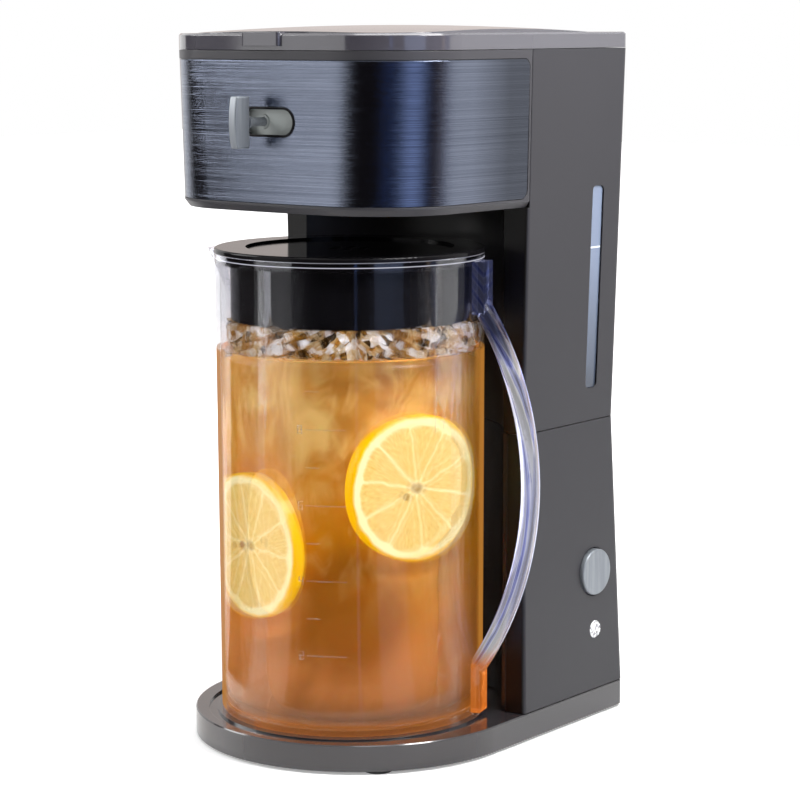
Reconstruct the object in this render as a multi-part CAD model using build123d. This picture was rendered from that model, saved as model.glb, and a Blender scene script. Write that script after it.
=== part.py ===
from build123d import *
import math
import os

# Iced coffee maker, in millimetres. Z is up, the front looks along -Y, and the origin is on the table
# under the centre of the round base. Each function below makes one piece, which is one STEP file.

# Levels
foot_height = 1.5
base_top = 16.0
middle_seam = 173.5
housing_top = 385.0
head_height = 85.5
head_underside = housing_top - head_height
lid_rim_height = 9.0
lid_rim_top = housing_top + lid_rim_height
lid_crown_height = 4.2
lid_crown_top = lid_rim_top + lid_crown_height

# Outline of the base and tower
base_radius = 93.5
tower_back = 42.5
back_reach = base_radius + tower_back
side_taper = 2.2
waist = 5.2
lid_draw_in = 0.5
back_corner = 5.0
front_corner = 2.0
tower_front = 33.6

# Outline of the head
head_set_back = 17.2
head_reach = base_radius - head_set_back
head_side_step = 0.5
head_half_top = base_radius - head_side_step
head_draft = 3.2
head_half_bottom = head_half_top - head_draft
head_corner = 51.3
head_bow = 600.0
head_overlap = 6.3
head_end = tower_front + head_overlap
head_chamfer = 2.5

# Walls and gaps
wall = 2.5
head_wall = 3.2
seam_gap = 0.5
clearance = 0.3
lip_height = 2.5
lip_step = 1.2
shelf = 2.5

# Seam between head and tower
strip_depth = 20.5
strip_inner = base_radius - strip_depth
strip_height = 22.0
strip_drop = 19.0
strip_upper = housing_top - strip_drop
head_screw_inset = 14.5
head_screw_x = base_radius - head_screw_inset
seam_side = 7.5

# Pitcher
jug_y = -6.5
jug_side_room = 18.5
jug_top_radius = base_radius - jug_side_room
jug_draft = 1.0
jug_foot_radius = jug_top_radius - jug_draft
jug_wall = 2.5
jug_floor = 3.0
pour_gap = 25.5
jug_rim = head_underside - pour_gap
jug_stand_off = 0.3
spout_proud = 11.0
spout_reach = jug_top_radius + spout_proud
spout_radius = 13.0
spout_depth = 27.0
handle_turn = 18.5
handle_stand_off = 31.3
handle_reach = jug_top_radius + handle_stand_off
handle_sag = 29.3
handle_lift = 3.0
handle_bite = 6.0
handle_thick = 9.0
handle_width = 12.5
upper_pad_drop = 3.0
upper_pad_height = 29.0
upper_pad_high = jug_rim - upper_pad_drop
upper_pad_low = upper_pad_high - upper_pad_height
upper_pad_proud = 6.5
lower_pad_lift = 3.0
lower_pad_height = 27.0
lower_pad_low = base_top + lower_pad_lift
lower_pad_high = lower_pad_low + lower_pad_height
lower_pad_proud = 4.0
recess_gap = 11.0
recess_joint = 0.1
recess_radius = jug_top_radius + recess_gap

# Pitcher lid
cover_overhang = 0.4
cover_radius = jug_top_radius + cover_overhang
cover_thick = 2.8
skirt_inset = 8.5
cover_skirt_radius = jug_top_radius - skirt_inset
cover_skirt_wall = 2.0
skirt_depth = 36.7
cover_skirt_bottom = jug_rim - skirt_depth
cover_seal_depth = 6.0
dish_rim = 17.4
cover_dish_radius = cover_radius - dish_rim
cover_dish_depth = 1.3
cover_hole_radius = 2.5
cover_hole_circle = 9.0
cover_hole_count = 6
strainer_slot = 3.0
strainer_count = 9
strainer_pitch = 5.0
strainer_lift = 8.7
strainer_height = 22.0
cover_slot_low = cover_skirt_bottom + strainer_lift
cover_slot_high = cover_slot_low + strainer_height

# Base
groove_gap = 2.5
groove_width = 5.0
groove_inner = jug_foot_radius + groove_gap
groove_outer = groove_inner + groove_width
groove_depth = 1.2
foot_radius = 7.5
foot_peg_radius = 2.4
foot_inset = 8.0
foot_circle = base_radius - foot_inset
front_foot_angle = 42.7
side_foot_angle = 18.5
rear_foot_inset = 17.5
rear_foot_back = 15.0
rear_foot_x = base_radius - rear_foot_inset
rear_foot_y = back_reach - rear_foot_back
plate_thick = 2.0
boss_radius = 4.0
screw_radius = 1.45
screw_hole = 1.5
screw_head_radius = 2.9
screw_head_height = 1.6
base_screw_inset = 31.5
base_screw_circle = base_radius - base_screw_inset
base_screw_length = 9.5
tower_screw_length = 14.0
base_screw_angles = (-135.0, -45.0, 45.0, 135.0)
rear_screw_x = 40.0
rear_screw_back = 20.0
rear_screw_y = back_reach - rear_screw_back

# Posts that hold the tower to the base
post_radius = 4.5
post_height = 24.0
front_post_inset = 21.5
front_post_back = 28.4
rear_post_inset = 23.5
rear_post_room = 14.0
front_post_x = base_radius - front_post_inset
front_post_y = tower_front + front_post_back
rear_post_x = base_radius - rear_post_inset
rear_post_y = back_reach - rear_post_room
post_places = (
    (-front_post_x, front_post_y), (front_post_x, front_post_y),
    (-rear_post_x, rear_post_y), (rear_post_x, rear_post_y),
)

# Front panel, its slot and the strength lever
panel_margin = 5.0
panel_low = head_underside + panel_margin
panel_high = housing_top - panel_margin
panel_end_room = 2.3
panel_end = head_end - panel_end_room
panel_thick = 0.9
panel_corner = 5.0
panel_inset = 0.1
slot_left = -15.0
slot_right = 21.2
slot_height = 13.4
slot_drop = 37.4
slot_level = housing_top - slot_drop
bezel_width = 1.1
bezel_depth = 1.6
lever_rest = -2.5
stem_radius = 2.5
knob_width = 5.6
knob_height = 27.4
knob_depth = 10.6
knob_proud = 19.6
knob_front = head_reach + knob_proud
knob_bow = 1.5
shield_set_back = 4.4
shield_radius = head_reach + jug_y - shield_set_back
shield_thick = 2.0
shield_half_angle = 30.0
shield_height = 18.0
ring_thick = 2.4
ring_height = 11.0

# Brew basket group
ring_room = 6.4
holder_radius = shield_radius - ring_room
holder_wall = 2.0
holder_drop = 17.0
holder_top = housing_top - holder_drop
ledge_thick = 3.0
port_radius = 2.6
port_spread = 9.0
outlet_radius = 9.0
nozzle_drop = 2.0
basket_wall = 1.5
basket_taper = 12.0
basket_foot_radius = holder_radius - basket_taper
basket_lift = 10.5
basket_foot = head_underside + basket_lift
basket_rim = 1.5
drain_hole = 1.6
drain_count = 10
drain_rings = 3
drain_margin = 11.0
drain_pitch = (basket_foot_radius - drain_margin) / drain_rings
mesh_thick = 0.8
arm_width = 15.0
arm_height = 8.0
arm_gap = 3.0
arm_level = holder_top + arm_gap
arm_wall = 1.5
arm_stub = 14.0
spray_hole = 1.2
spray_circle = 4.5

# Tank and its window
tank_gap = 1.5
tank_wall = 2.0
tank_bottom = 110.0
tank_drop = 40.0
tank_top = housing_top - tank_drop
window_lift = 19.0
window_drop = 77.0
window_low = middle_seam + window_lift
window_high = housing_top - window_drop
window_back = 25.8
window_y = back_reach - window_back
window_width = 11.0
window_corner = 3.0
window_depth = 1.0
window_flange = 2.5

# Heater and water line
heater_side_room = 45.5
heater_length = 2 * (base_radius - heater_side_room)
heater_height = 18.0
heater_depth = 28.0
heater_back = 29.0
heater_y = back_reach - heater_back
heater_level = 45.0
water_bore = 2.4
port_radius_water = 4.0
water_bore_front = 7.0
water_bore_y = heater_y - water_bore_front
element_bore = 3.5
element_bore_behind = 6.0
element_bore_y = heater_y + element_bore_behind
element_radius = 3.4
element_out = 9.0
element_blade = 7.0
port_length = 14.0
hose_radius = 5.8
free_port = 9.0
cold_run = 23.0
cold_back = 62.0
tank_port_x = heater_length / 2 + cold_run
tank_port_y = back_reach - cold_back
riser_run = 29.0
riser_gap = 9.5
riser_lean = 26.0
riser_bends = (9.0, 22.0)
riser_x = -(heater_length / 2 + riser_run)
riser_y = jug_y + math.sqrt((recess_radius + riser_gap) ** 2 - riser_x ** 2)
tank_front_gap = 7.0
tank_front = riser_y + tank_front_gap
valve_radius = 6.5
valve_length = 16.0
valve_stub = 8.0
seal_thick = 3.0
clamp_width = 6.0
clamp_thick = 0.8
clamp_back = 7.0
bracket_width = 12.0
bracket_thick = 1.5
bracket_foot = 5.0
ledge_width = 5.0
ledge_depth = 3.0
terminal_width = 24.0
terminal_depth = 12.0
thermostat_radius = 8.0
thermostat_height = 6.0
fuse_radius = 2.2
fuse_length = 14.0
fuse_left = -34.0

# Button, light and cord inlet
button_back = 29.7
button_y = back_reach - button_back
button_level = 85.2
button_radius = 13.4
button_gap = 0.7
button_proud = 2.6
button_travel = 2.5
button_depth = 7.0
button_stem = 3.0
spring_radius = 5.0
spring_wire = 0.8
switch_length = 22.0
switch_width = 22.0
switch_height = 26.0
blade_spread = 5.0
blade_length = 8.0
lens_level = 51.2
lens_radius = 5.1
lens_proud = 0.9
lamp_radius = 3.0
lamp_length = 14.0
gland_x = -52.0
gland_level = 30.0
gland_radius = 6.0
ridge_high = 3.0
ridge_thick = 1.5
gland_bore = 3.6
lead_radius = 1.3

# Top lid and its hinge
lid_gap = 0.3
lid_wall = 2.6
lid_edge = 1.0
pad_inset = 11.0
pad_radius = 1500.0
tab_width = 27.0
tab_proud = 2.2
tab_height = 6.5
tab_rise = 0.8
hinge_back = 2.9
hinge_radius = 2.6
hinge_bore = 1.25
hinge_pin = 1.2
hinge_x = 50.0
lug_width = 8.0
knuckle_width = 6.0

jug_bottom = base_top + jug_stand_off
taper_sin = math.sin(math.radians(side_taper))
taper_cos = math.cos(math.radians(side_taper))


def disc(radius, low, high, x=0.0, y=0.0):
    """An upright cylinder between two levels."""
    return Pos(x, y, low) * Cylinder(radius, high - low, align=(Align.CENTER, Align.CENTER, Align.MIN))


def tube(outer, inner, low, high, x=0.0, y=0.0):
    """An upright tube between two levels."""
    return disc(outer, low, high, x, y) - disc(inner, low - 1, high + 1, x, y)


def slab(x0, x1, y0, y1, z0, z1):
    """A box given by its limits."""
    return Pos(x0, y0, z0) * Box(x1 - x0, y1 - y0, z1 - z0, align=(Align.MIN, Align.MIN, Align.MIN))


def rod_x(radius, x0, x1, y, z):
    """A cylinder along X."""
    return Pos(x0, y, z) * Rot(0, 90, 0) * Cylinder(
        radius, x1 - x0, align=(Align.CENTER, Align.CENTER, Align.MIN)
    )


def rod_y(radius, y0, y1, x, z):
    """A cylinder along Y."""
    return Pos(x, y0, z) * Rot(-90, 0, 0) * Cylinder(
        radius, y1 - y0, align=(Align.CENTER, Align.CENTER, Align.MIN)
    )


def around(part, degrees):
    """Turn a part about the pitcher's upright axis."""
    return Pos(0, jug_y, 0) * Rot(0, 0, degrees) * Pos(0, -jug_y, 0) * part


def pipe(points, radii, outer, inner=0.0):
    """A round tube along straight runs joined by arcs."""
    path = FilletPolyline(*points, radius=radii)
    start = Plane(origin=path @ 0, z_dir=path % 0)
    section = Circle(outer)
    if inner > 0:
        section = section - Circle(inner)
    return sweep(start * section, path=path)


def side_x(y, grow):
    """Half-width of the tapering side at y, for an outline that is grown by grow."""
    return (base_radius + grow - y * taper_sin) / taper_cos


def lower_grow(z):
    """The lower housing draws in from the base to the middle seam."""
    return -waist * (z - base_top) / (middle_seam - base_top)


def upper_grow(z):
    """The upper housing widens again from the middle seam to the lid."""
    share = (z - middle_seam) / (housing_top - middle_seam)
    return -waist + (waist - lid_draw_in) * share


def tower_face(z, grow, front, corner):
    """Plan of the tower at level z."""
    back = back_reach + grow
    points = (
        (-side_x(front, grow), front),
        (side_x(front, grow), front),
        (side_x(back, grow), back),
        (-side_x(back, grow), back),
    )
    outline = FilletPolyline(*points, radius=[front_corner, front_corner, corner, corner], close=True)
    return Pos(0, 0, z) * make_face(outline)


def lower_block(low, high, inset=0.0):
    """Solid block of the lower tower, drawn in by inset on every side."""
    corner = max(back_corner - inset, 1.0)
    faces = [
        tower_face(z, lower_grow(z) - inset, tower_front - lower_grow(z) + inset, corner) for z in (low, high)
    ]
    return loft(faces, ruled=True)


def upper_block(low, high, inset=0.0):
    """Solid block of the upper tower, drawn in by inset on every side."""
    corner = max(back_corner - inset, 1.0)
    front = tower_front + waist + inset
    faces = [tower_face(z, upper_grow(z) - inset, front, corner) for z in (low, high)]
    return loft(faces, ruled=True)


def head_half(z):
    """Half-width of the head at level z."""
    share = (z - head_underside) / (housing_top - head_underside)
    return head_half_bottom + (head_half_top - head_half_bottom) * share


def head_edges(z, grow):
    """Right half of the head's front: bow, corner arc and the point where the side starts."""
    half = head_half(z) + grow
    bow = head_bow + grow
    corner = head_corner + grow
    bow_y = -head_reach - grow + bow
    corner_x = half - corner
    corner_y = bow_y - math.sqrt((bow - corner) ** 2 - corner_x ** 2)
    turn = math.atan2(corner_y - bow_y, corner_x)
    touch = (bow * math.cos(turn), bow_y + bow * math.sin(turn))
    middle = (corner_x + corner * math.cos(turn / 2), corner_y + corner * math.sin(turn / 2))
    return (0.0, bow_y - bow), touch, middle, (half, corner_y)


def mirrored(point):
    return (-point[0], point[1])


def head_face(z, grow=0.0, end=head_end):
    """Plan of the head at level z, closed by a straight line at the seam with the tower."""
    nose, touch, middle, side = head_edges(z, grow)
    last = (side_x(head_end, upper_grow(z) + grow), end)
    edges = [
        ThreePointArc(mirrored(touch), nose, touch),
        ThreePointArc(touch, middle, side),
        Line(side, last),
        Line(last, mirrored(last)),
        Line(mirrored(last), mirrored(side)),
        ThreePointArc(mirrored(side), mirrored(middle), mirrored(touch)),
    ]
    return Pos(0, 0, z) * make_face(edges)


def head_block(low, high, grow=0.0, end=head_end):
    """Solid block of the head between two levels."""
    return loft([head_face(low, grow, end), head_face(high, grow, end)], ruled=True)


def top_face(z, grow, level):
    """Plan of the whole top, head and tower together, at the widths of one level."""
    nose, touch, middle, side = head_edges(level, grow)
    seam = (side_x(head_end, upper_grow(level) + grow), head_end)
    back = back_reach + upper_grow(level) + grow
    corner = (side_x(back, upper_grow(level) + grow), back)
    edges = [
        ThreePointArc(mirrored(touch), nose, touch),
        ThreePointArc(touch, middle, side),
        Polyline(side, seam, corner, mirrored(corner), mirrored(seam), mirrored(side)),
        ThreePointArc(mirrored(side), mirrored(middle), mirrored(touch)),
    ]
    face = make_face(edges).face()
    radius = max(back_corner + grow, 1.0)
    rounded = face.fillet_2d(radius, face.vertices().group_by(Axis.Y)[-1])
    return Pos(0, 0, z) * rounded


def base_face(z, grow=0.0):
    """Plan of the base: a circle in front, straight sides and rounded back corners."""
    radius = base_radius + grow
    touch = (radius * taper_cos, radius * taper_sin)
    back = back_reach + grow
    corner = (side_x(back, grow), back)
    edges = [
        ThreePointArc(mirrored(touch), (0, -radius), touch),
        Polyline(touch, corner, mirrored(corner), mirrored(touch)),
    ]
    face = make_face(edges).face()
    rounded = face.fillet_2d(max(back_corner + grow, 1.0), face.vertices().group_by(Axis.Y)[-1])
    return Pos(0, 0, z) * rounded


def base_block(low, high, grow=0.0):
    """Solid block of the base between two levels."""
    return extrude(base_face(low, grow), amount=high - low, dir=(0, 0, 1))


def recess(low, high, grow=0.0):
    """The round hollow in the tower's front that the pitcher stands in."""
    return disc(recess_radius + grow, low, high, 0, jug_y)


def base_screw_places():
    """Where the underside's screws go: four round the pitcher's seat and two under the tower."""
    places = [
        (base_screw_circle * math.cos(math.radians(a)), base_screw_circle * math.sin(math.radians(a)))
        for a in base_screw_angles
    ]
    return places + [(-rear_screw_x, rear_screw_y), (rear_screw_x, rear_screw_y)]


def foot_places():
    """Centres of the feet: six round the edge and one under the pitcher's seat."""
    places = [(0.0, 0.0)]
    for side in (-1, 1):
        for angle in (-front_foot_angle, side_foot_angle):
            turn = math.radians(angle)
            places.append((side * foot_circle * math.cos(turn), foot_circle * math.sin(turn)))
        places.append((side * rear_foot_x, rear_foot_y))
    return places


def base_tray():
    """Shallow tray, open below, with a groove round the pitcher's seat and an opening into the tower."""
    skin = base_top - wall
    tray = base_block(foot_height, base_top)
    tray = chamfer(tray.faces().sort_by(Axis.Z)[-1].outer_wire().edges(), 0.6)
    tray = tray - base_block(foot_height - 1, skin, -wall)
    tray = tray - tube(groove_outer, groove_inner, base_top - groove_depth, base_top + 1, 0, jug_y)
    tray = tray + tray_ridge()
    for x, y in base_screw_places():
        boss = disc(boss_radius, foot_height + plate_thick, base_top - wall / 2, x, y)
        tray = tray + boss - disc(screw_hole, 0, skin, x, y)
    for x, y in post_places:
        tray = tray - disc(screw_hole + clearance, 0, base_top + 1, x, y)
    return tray


def tray_ridge():
    """Low wall that the tower drops over, cut away where the posts stand."""
    low = base_top - 0.5
    high = base_top + ridge_high
    gap = wall + 0.15
    ridge = lower_block(low, high, gap) - recess(0, high + 1, gap)
    gap = gap + ridge_thick
    ridge = ridge - (lower_block(low - 1, high + 1, gap) - recess(0, high + 2, gap))
    for x, y in post_places:
        far = math.copysign(base_radius, x)
        reach = post_radius + 0.5
        ridge = ridge - slab(min(x, far), max(x, far), y - reach, y + reach, low - 1, high + 1)
        ridge = ridge - disc(reach, low - 1, high + 1, x, y)
    return ridge


def base_plate():
    """Flat cover that closes the tray from below."""
    plate = base_block(foot_height, foot_height + plate_thick, -wall - clearance)
    for x, y in base_screw_places():
        plate = plate - disc(screw_hole + clearance, 0, base_top, x, y)
        plate = plate - disc(screw_head_radius + clearance, 0, foot_height + screw_head_height, x, y)
    for x, y in foot_places():
        plate = plate - disc(foot_peg_radius + 0.05, 0, base_top, *inward(x, y))
    return plate


def inward(x, y):
    """A foot's peg sits a little inside the foot, where the cover plate reaches."""
    length = max(math.hypot(x, y), foot_radius)
    shift = foot_radius - foot_peg_radius - 1.0
    return x * (1 - shift / length), y * (1 - shift / length)


def rubber_feet():
    """Low pads with pegs that push into the cover plate."""
    feet = Part()
    for x, y in foot_places():
        foot = disc(foot_radius, 0, foot_height, x, y)
        peg = disc(foot_peg_radius, foot_height, foot_height + plate_thick + 1, *inward(x, y))
        feet = feet + (foot + peg)
    return feet


def screw(x, y, head_level, length):
    """A screw that points up, with its head below head_level."""
    head = disc(screw_head_radius, head_level - screw_head_height, head_level, x, y)
    cross = slab(x - 0.4, x + 0.4, y - 2, y + 2, head_level - screw_head_height - 1, head_level - 0.8)
    cross = cross + Pos(x, y, 0) * Rot(0, 0, 90) * Pos(-x, -y, 0) * cross
    return head + disc(screw_radius, head_level, head_level + length, x, y) - cross


def base_screws():
    """Screws that hold the cover plate."""
    screws = Part()
    for x, y in base_screw_places():
        screws = screws + screw(x, y, foot_height + screw_head_height, base_screw_length)
    return screws


def tower_screws():
    """Screws that go up through the tray into the tower's posts."""
    screws = Part()
    for x, y in post_places:
        screws = screws + screw(x, y, base_top - wall, tower_screw_length)
    return screws


def recess_panel():
    """Curved wall behind the pitcher, from the base to the middle seam, with its lip above."""
    low = base_top + seam_gap
    high = middle_seam - seam_gap / 2
    panel = (lower_block(low, high) & recess(low, high, wall)) - recess(0, high + 1)
    top = high + lip_height
    lip = lower_block(high - 2, top, lip_step) & recess(high - 2, top, wall)
    return panel + (lip - recess(0, high + 9, lip_step))


def lower_housing():
    """Sides and back of the tower from the base to the middle seam, open at both ends."""
    low = base_top + seam_gap
    high = middle_seam - seam_gap / 2
    shell = lower_block(low, high) - lower_block(low - 1, high + 1, wall)
    lip = lower_block(high - 2, high + lip_height, lip_step)
    lip = lip - lower_block(high - 3, high + lip_height + 1, wall)
    shell = shell + lip
    for x, y in post_places:
        post = disc(post_radius, base_top, base_top + post_height, x, y)
        near, far = sorted((x, math.copysign(base_radius, x)))
        web = slab(near, far, y - 1, y + 1, low, low + post_height)
        web = web & lower_block(low, low + post_height + 1, wall / 2)
        shell = shell + post + web
        shell = shell - disc(screw_hole, 0, base_top + post_height - 3, x, y)
    start = switch_front()
    end = base_radius + wall
    collar = rod_x(button_radius + button_gap + wall, start, end, button_y, button_level)
    shell = shell + (collar & lower_block(low, high, wall / 2)) + tank_ledge()
    shell = shell - rod_x(button_radius + button_gap, start - wall, end, button_y, button_level)
    shell = shell - rod_x(lens_radius + 0.05, start - wall, end, button_y, lens_level)
    shell = shell - recess(0, high + 9, wall + recess_joint)
    return shell - rod_y(gland_radius - 1, heater_y, back_reach + wall, gland_x, gland_level)


def tank_ledge():
    """Narrow shelf inside the walls that carries the tank."""
    low = tank_bottom - ledge_depth
    inner = wall / 2
    ledge = lower_block(low, tank_bottom, inner) - recess(0, tank_bottom + 1, inner)
    inner = wall + ledge_width
    ledge = ledge - (lower_block(low - 1, tank_bottom + 1, inner) - recess(0, tank_bottom + 2, inner))
    return ledge - disc(hose_radius + 1, low - 1, tank_bottom + 1, riser_x, riser_y)


def hinge_axis():
    """Y and Z of the lid's hinge, just behind the tower."""
    return back_reach - lid_draw_in + hinge_back, housing_top


def hinge_barrel(x, width, gap):
    """One barrel of the hinge with its web: gap says which side of the seam the web is on."""
    y, z = hinge_axis()
    barrel = rod_x(hinge_radius, x, x + width, y, z)
    if gap < 0:
        web = slab(x, x + width, y - hinge_back - wall, y, z - hinge_radius - 3, z - lid_gap)
        web = web - rod_x(hinge_radius - 0.5, x, x + width, y, z)
    else:
        web = slab(x, x + width, y - hinge_back - 2, y, z + lid_gap + 0.2, z + hinge_radius + 2)
        web = web - rod_x(hinge_radius - 0.5, x, x + width, y, z)
    return barrel + web


def window_hole(grow, depth_low, depth_high):
    """Rounded opening in the tower's right side, leaning with the tower's back edge."""
    height = window_high - window_low
    shape = RectangleRounded(window_width + 2 * grow, height + 2 * grow, window_corner + grow)
    lean = math.degrees(math.atan2(waist - lid_draw_in, housing_top - middle_seam))
    level = (window_low + window_high) / 2
    y = window_y + upper_grow(level)
    surface = side_x(y, upper_grow(level))
    block = Plane(origin=(depth_low, 0, 0), x_dir=(0, 1, 0), z_dir=(1, 0, 0)) * shape
    block = extrude(block, amount=depth_high - depth_low, dir=(1, 0, 0))
    return Pos(surface, y, level) * Rot(0, 0, side_taper) * Rot(0, lean, 0) * Rot(-lean, 0, 0) * block


def upper_housing():
    """Tower from the middle seam to the lid, with a shelf over the pitcher's hollow."""
    low = middle_seam + seam_gap / 2
    roof = head_underside + shelf
    shell = upper_block(low, housing_top) - recess(0, head_underside)
    hollow = upper_block(low - 1, housing_top + 1, wall) - recess(0, roof, wall)
    shell = shell - hollow
    step = lip_step - 0.1
    shell = shell - (upper_block(low - 1, low + lip_height + clearance, step) - recess(0, low + 9, step))
    seam = head_end + seam_gap / 2
    side = base_radius - seam_side
    shell = shell - slab(-2 * side, 2 * side, 0, seam, head_underside - 0.2, housing_top + 1)
    shell = shell - slab(-side, side, 0, seam + wall, roof, housing_top + 1)
    shell = shell + seam_flanges(seam, seam + wall)
    rest = slab(-base_radius, riser_x + 11, riser_y - 6, riser_y + 7, arm_level - 2.5, arm_level)
    rest = rest & upper_block(roof, housing_top, wall / 2)
    shell = shell + rest - disc(port_radius_water + 0.5, roof + 5, housing_top, riser_x, riser_y)
    shell = shell - window_hole(0.15, -9, 4)
    y, z = hinge_axis()
    for x in (-hinge_x, hinge_x):
        shell = shell + hinge_barrel(x - lug_width / 2, lug_width, -1)
    shell = shell - rod_x(hinge_bore, -hinge_x - lug_width, hinge_x + lug_width, y, z)
    return shell


def seam_flanges(y0, y1):
    """Upright strips inside the seam that the head is screwed to."""
    roof = head_underside + shelf
    strips = Part()
    for side in (-1, 1):
        for low, high in strip_levels():
            inner, outer = sorted((side * strip_inner, side * base_radius))
            strip = slab(inner, outer, y0, y1, low, high)
            strips = strips + (strip & upper_block(roof - 2, housing_top, wall / 2))
    holes = Part()
    for x, z in head_screw_places():
        holes = holes + rod_y(screw_hole, y0 - 1, y1 + 1, x, z)
    return strips - holes


def strip_levels():
    """Bottom and top of the two strips on each side."""
    low = head_underside + shelf - 0.5
    return [(low, low + strip_height), (strip_upper - strip_height, strip_upper)]


def head_screw_places():
    """Four screws through the seam between head and tower."""
    return [(side * head_screw_x, (low + high) / 2) for side in (-1, 1) for low, high in strip_levels()]


def head_screws():
    """Screws along Y that join head and tower."""
    screws = Part()
    start = head_end - seam_gap / 2 - wall
    for x, z in head_screw_places():
        head = rod_y(screw_head_radius, start - screw_head_height, start, x, z)
        shank = rod_y(screw_radius, start, start + 2 * wall + seam_gap + 1, x, z)
        screws = screws + (head + shank)
    return screws


def panel_window(grow, reach=120.0):
    """Side view of the front panel, cut through the whole width of the head."""
    height = panel_high - panel_low + 2 * grow
    shape = RectangleRounded(2 * reach, height, panel_corner + grow)
    middle = (panel_low + panel_high) / 2
    place = Plane(origin=(0, panel_end + grow - reach, middle), z_dir=(1, 0, 0), x_dir=(0, 1, 0))
    return extrude(place * shape, amount=120, both=True)


def slot_shape(grow, extra=0.0):
    """The lever's slot, a bar with round ends, cut along Y through the head's front."""
    y0 = -head_reach - 14 - extra
    y1 = -head_reach + 16 + extra
    length = slot_right - slot_left + 2 * grow
    shape = SlotOverall(length, slot_height + 2 * grow)
    place = Plane(origin=((slot_left + slot_right) / 2, y0, slot_level), z_dir=(0, 1, 0), x_dir=(1, 0, 0))
    return extrude(place * shape, amount=y1 - y0)


def head_shell():
    """Overhanging front housing, open at the top and at the seam with the tower."""
    low = head_underside
    roof = low + shelf
    end = head_end - seam_gap / 2
    foot = loft([head_face(low, -head_chamfer, end), head_face(roof + 1, 0, end)], ruled=True)
    shell = foot + head_block(roof + 1, housing_top, 0, end)
    shell = shell - head_block(roof, housing_top + 1, -head_wall, end + 5)
    skin = head_block(panel_low - 2, panel_high + 2, 1, end + 5) - head_block(
        panel_low - 2, panel_high + 2, -panel_thick - panel_inset - 0.1, end + 5
    )
    shell = shell - (skin & panel_window(clearance))
    shell = shell - slot_shape(bezel_width + 0.1)
    shell = shell - disc(outlet_radius + 6, low - 1, roof + 1, 0, jug_y)
    strips = head_strips(end)
    return shell + strips


def head_strips(end):
    """Strips inside the head's open end that its screws go through."""
    roof = head_underside + shelf
    inner = head_block(roof - 1, housing_top, -head_wall / 2, end)
    strips = Part()
    for side in (-1, 1):
        for low, high in strip_levels():
            near, far = sorted((side * strip_inner, side * base_radius))
            strip = slab(near, far, end - wall, end, low, high)
            strips = strips + (strip & inner)
    for x, z in head_screw_places():
        strips = strips - rod_y(screw_hole + clearance, end - wall - 1, end + 1, x, z)
    return strips


def front_panel():
    """Thin sheet bent round the front and both sides of the head, with the slot cut out."""
    low = panel_low - 1
    high = panel_high + 1
    end = head_end + 6
    inner = -panel_inset - panel_thick
    sheet = head_block(low, high, -panel_inset, end) - head_block(low - 1, high + 1, inner, end + 9)
    return (sheet & panel_window(0)) - slot_shape(bezel_width + 0.1)


def slot_bezel():
    """Dark rim that lines the slot, flush with the panel."""
    rim = slot_shape(bezel_width) - slot_shape(0, 1)
    low = slot_level - 20
    high = slot_level + 20
    inner = -bezel_depth - panel_thick
    sheet = head_block(low, high, 0.3) - head_block(low - 1, high + 1, inner, head_end + 9)
    return rim & sheet


def sector(radius, half_angle, low, high):
    """A wedge that points to the front, to keep part of a ring."""
    far = radius * 2
    x = far * math.sin(math.radians(half_angle))
    y = far * math.cos(math.radians(half_angle))
    shape = make_face(Polyline((0, 0), (-x, -y), (x, -y), (0, 0)))
    return Pos(0, jug_y, low) * extrude(shape, amount=high - low)


def ring_low():
    return slot_level - ring_height / 2


def ring_hole():
    return holder_radius + clearance


def port_holes(level):
    """Three small holes in a row, towards the back, through the holder and the ring round it."""
    holes = Part()
    for step in (-1, 0, 1):
        hole = rod_y(port_radius, jug_y + 40, jug_y + 80, 0, level)
        holes = holes + around(hole, step * port_spread)
    return holes


def selector_ring():
    """Ring round the basket holder that opens its side ports, with the plate that fills the slot."""
    low = ring_low()
    ring = tube(ring_hole() + ring_thick, ring_hole(), low, low + ring_height, 0, jug_y)
    inner = ring_hole()
    link = tube(shield_radius, inner, low + 2, low + ring_height - 2, 0, jug_y)
    link = link & sector(shield_radius, 8, low, low + ring_height)
    foot = slot_level - shield_height / 2
    head = slot_level + shield_height / 2
    shield = tube(shield_radius, shield_radius - shield_thick, foot, head, 0, jug_y)
    shield = shield & sector(shield_radius, shield_half_angle, foot, head)
    ring = ring - port_holes(slot_level)
    ring = ring + link + shield
    face = jug_y - shield_radius
    ring = ring + rod_y(stem_radius + 1.2, face - 0.6, face + 1, 0, slot_level)
    socket = rod_y(stem_radius, -knob_front, face + 1, 0, slot_level)
    return around(ring - socket, lever_rest)


def selector_knob():
    """Upright bar with a bowed face, on a round stem that goes through the slot."""
    front = -knob_front
    half = knob_height / 2
    back = front + knob_depth
    edges = [
        ThreePointArc((front + knob_bow, -half), (front, 0), (front + knob_bow, half)),
        Polyline((front + knob_bow, half), (back, half), (back, -half), (front + knob_bow, -half)),
    ]
    profile = Plane(origin=(0, 0, slot_level), x_dir=(0, 1, 0), z_dir=(1, 0, 0)) * make_face(edges)
    bar = extrude(profile, amount=knob_width / 2, both=True)
    bar = fillet(bar.edges(), 1.0)
    neck = Pos(0, back - 0.5, slot_level) * Rot(-90, 0, 0) * Cone(
        stem_radius + 1.6, stem_radius, 4.5, align=(Align.CENTER, Align.CENTER, Align.MIN)
    )
    stem = rod_y(stem_radius, back - 1, -shield_radius + jug_y + 1, 0, slot_level)
    return around(bar + neck + stem, lever_rest)


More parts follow.
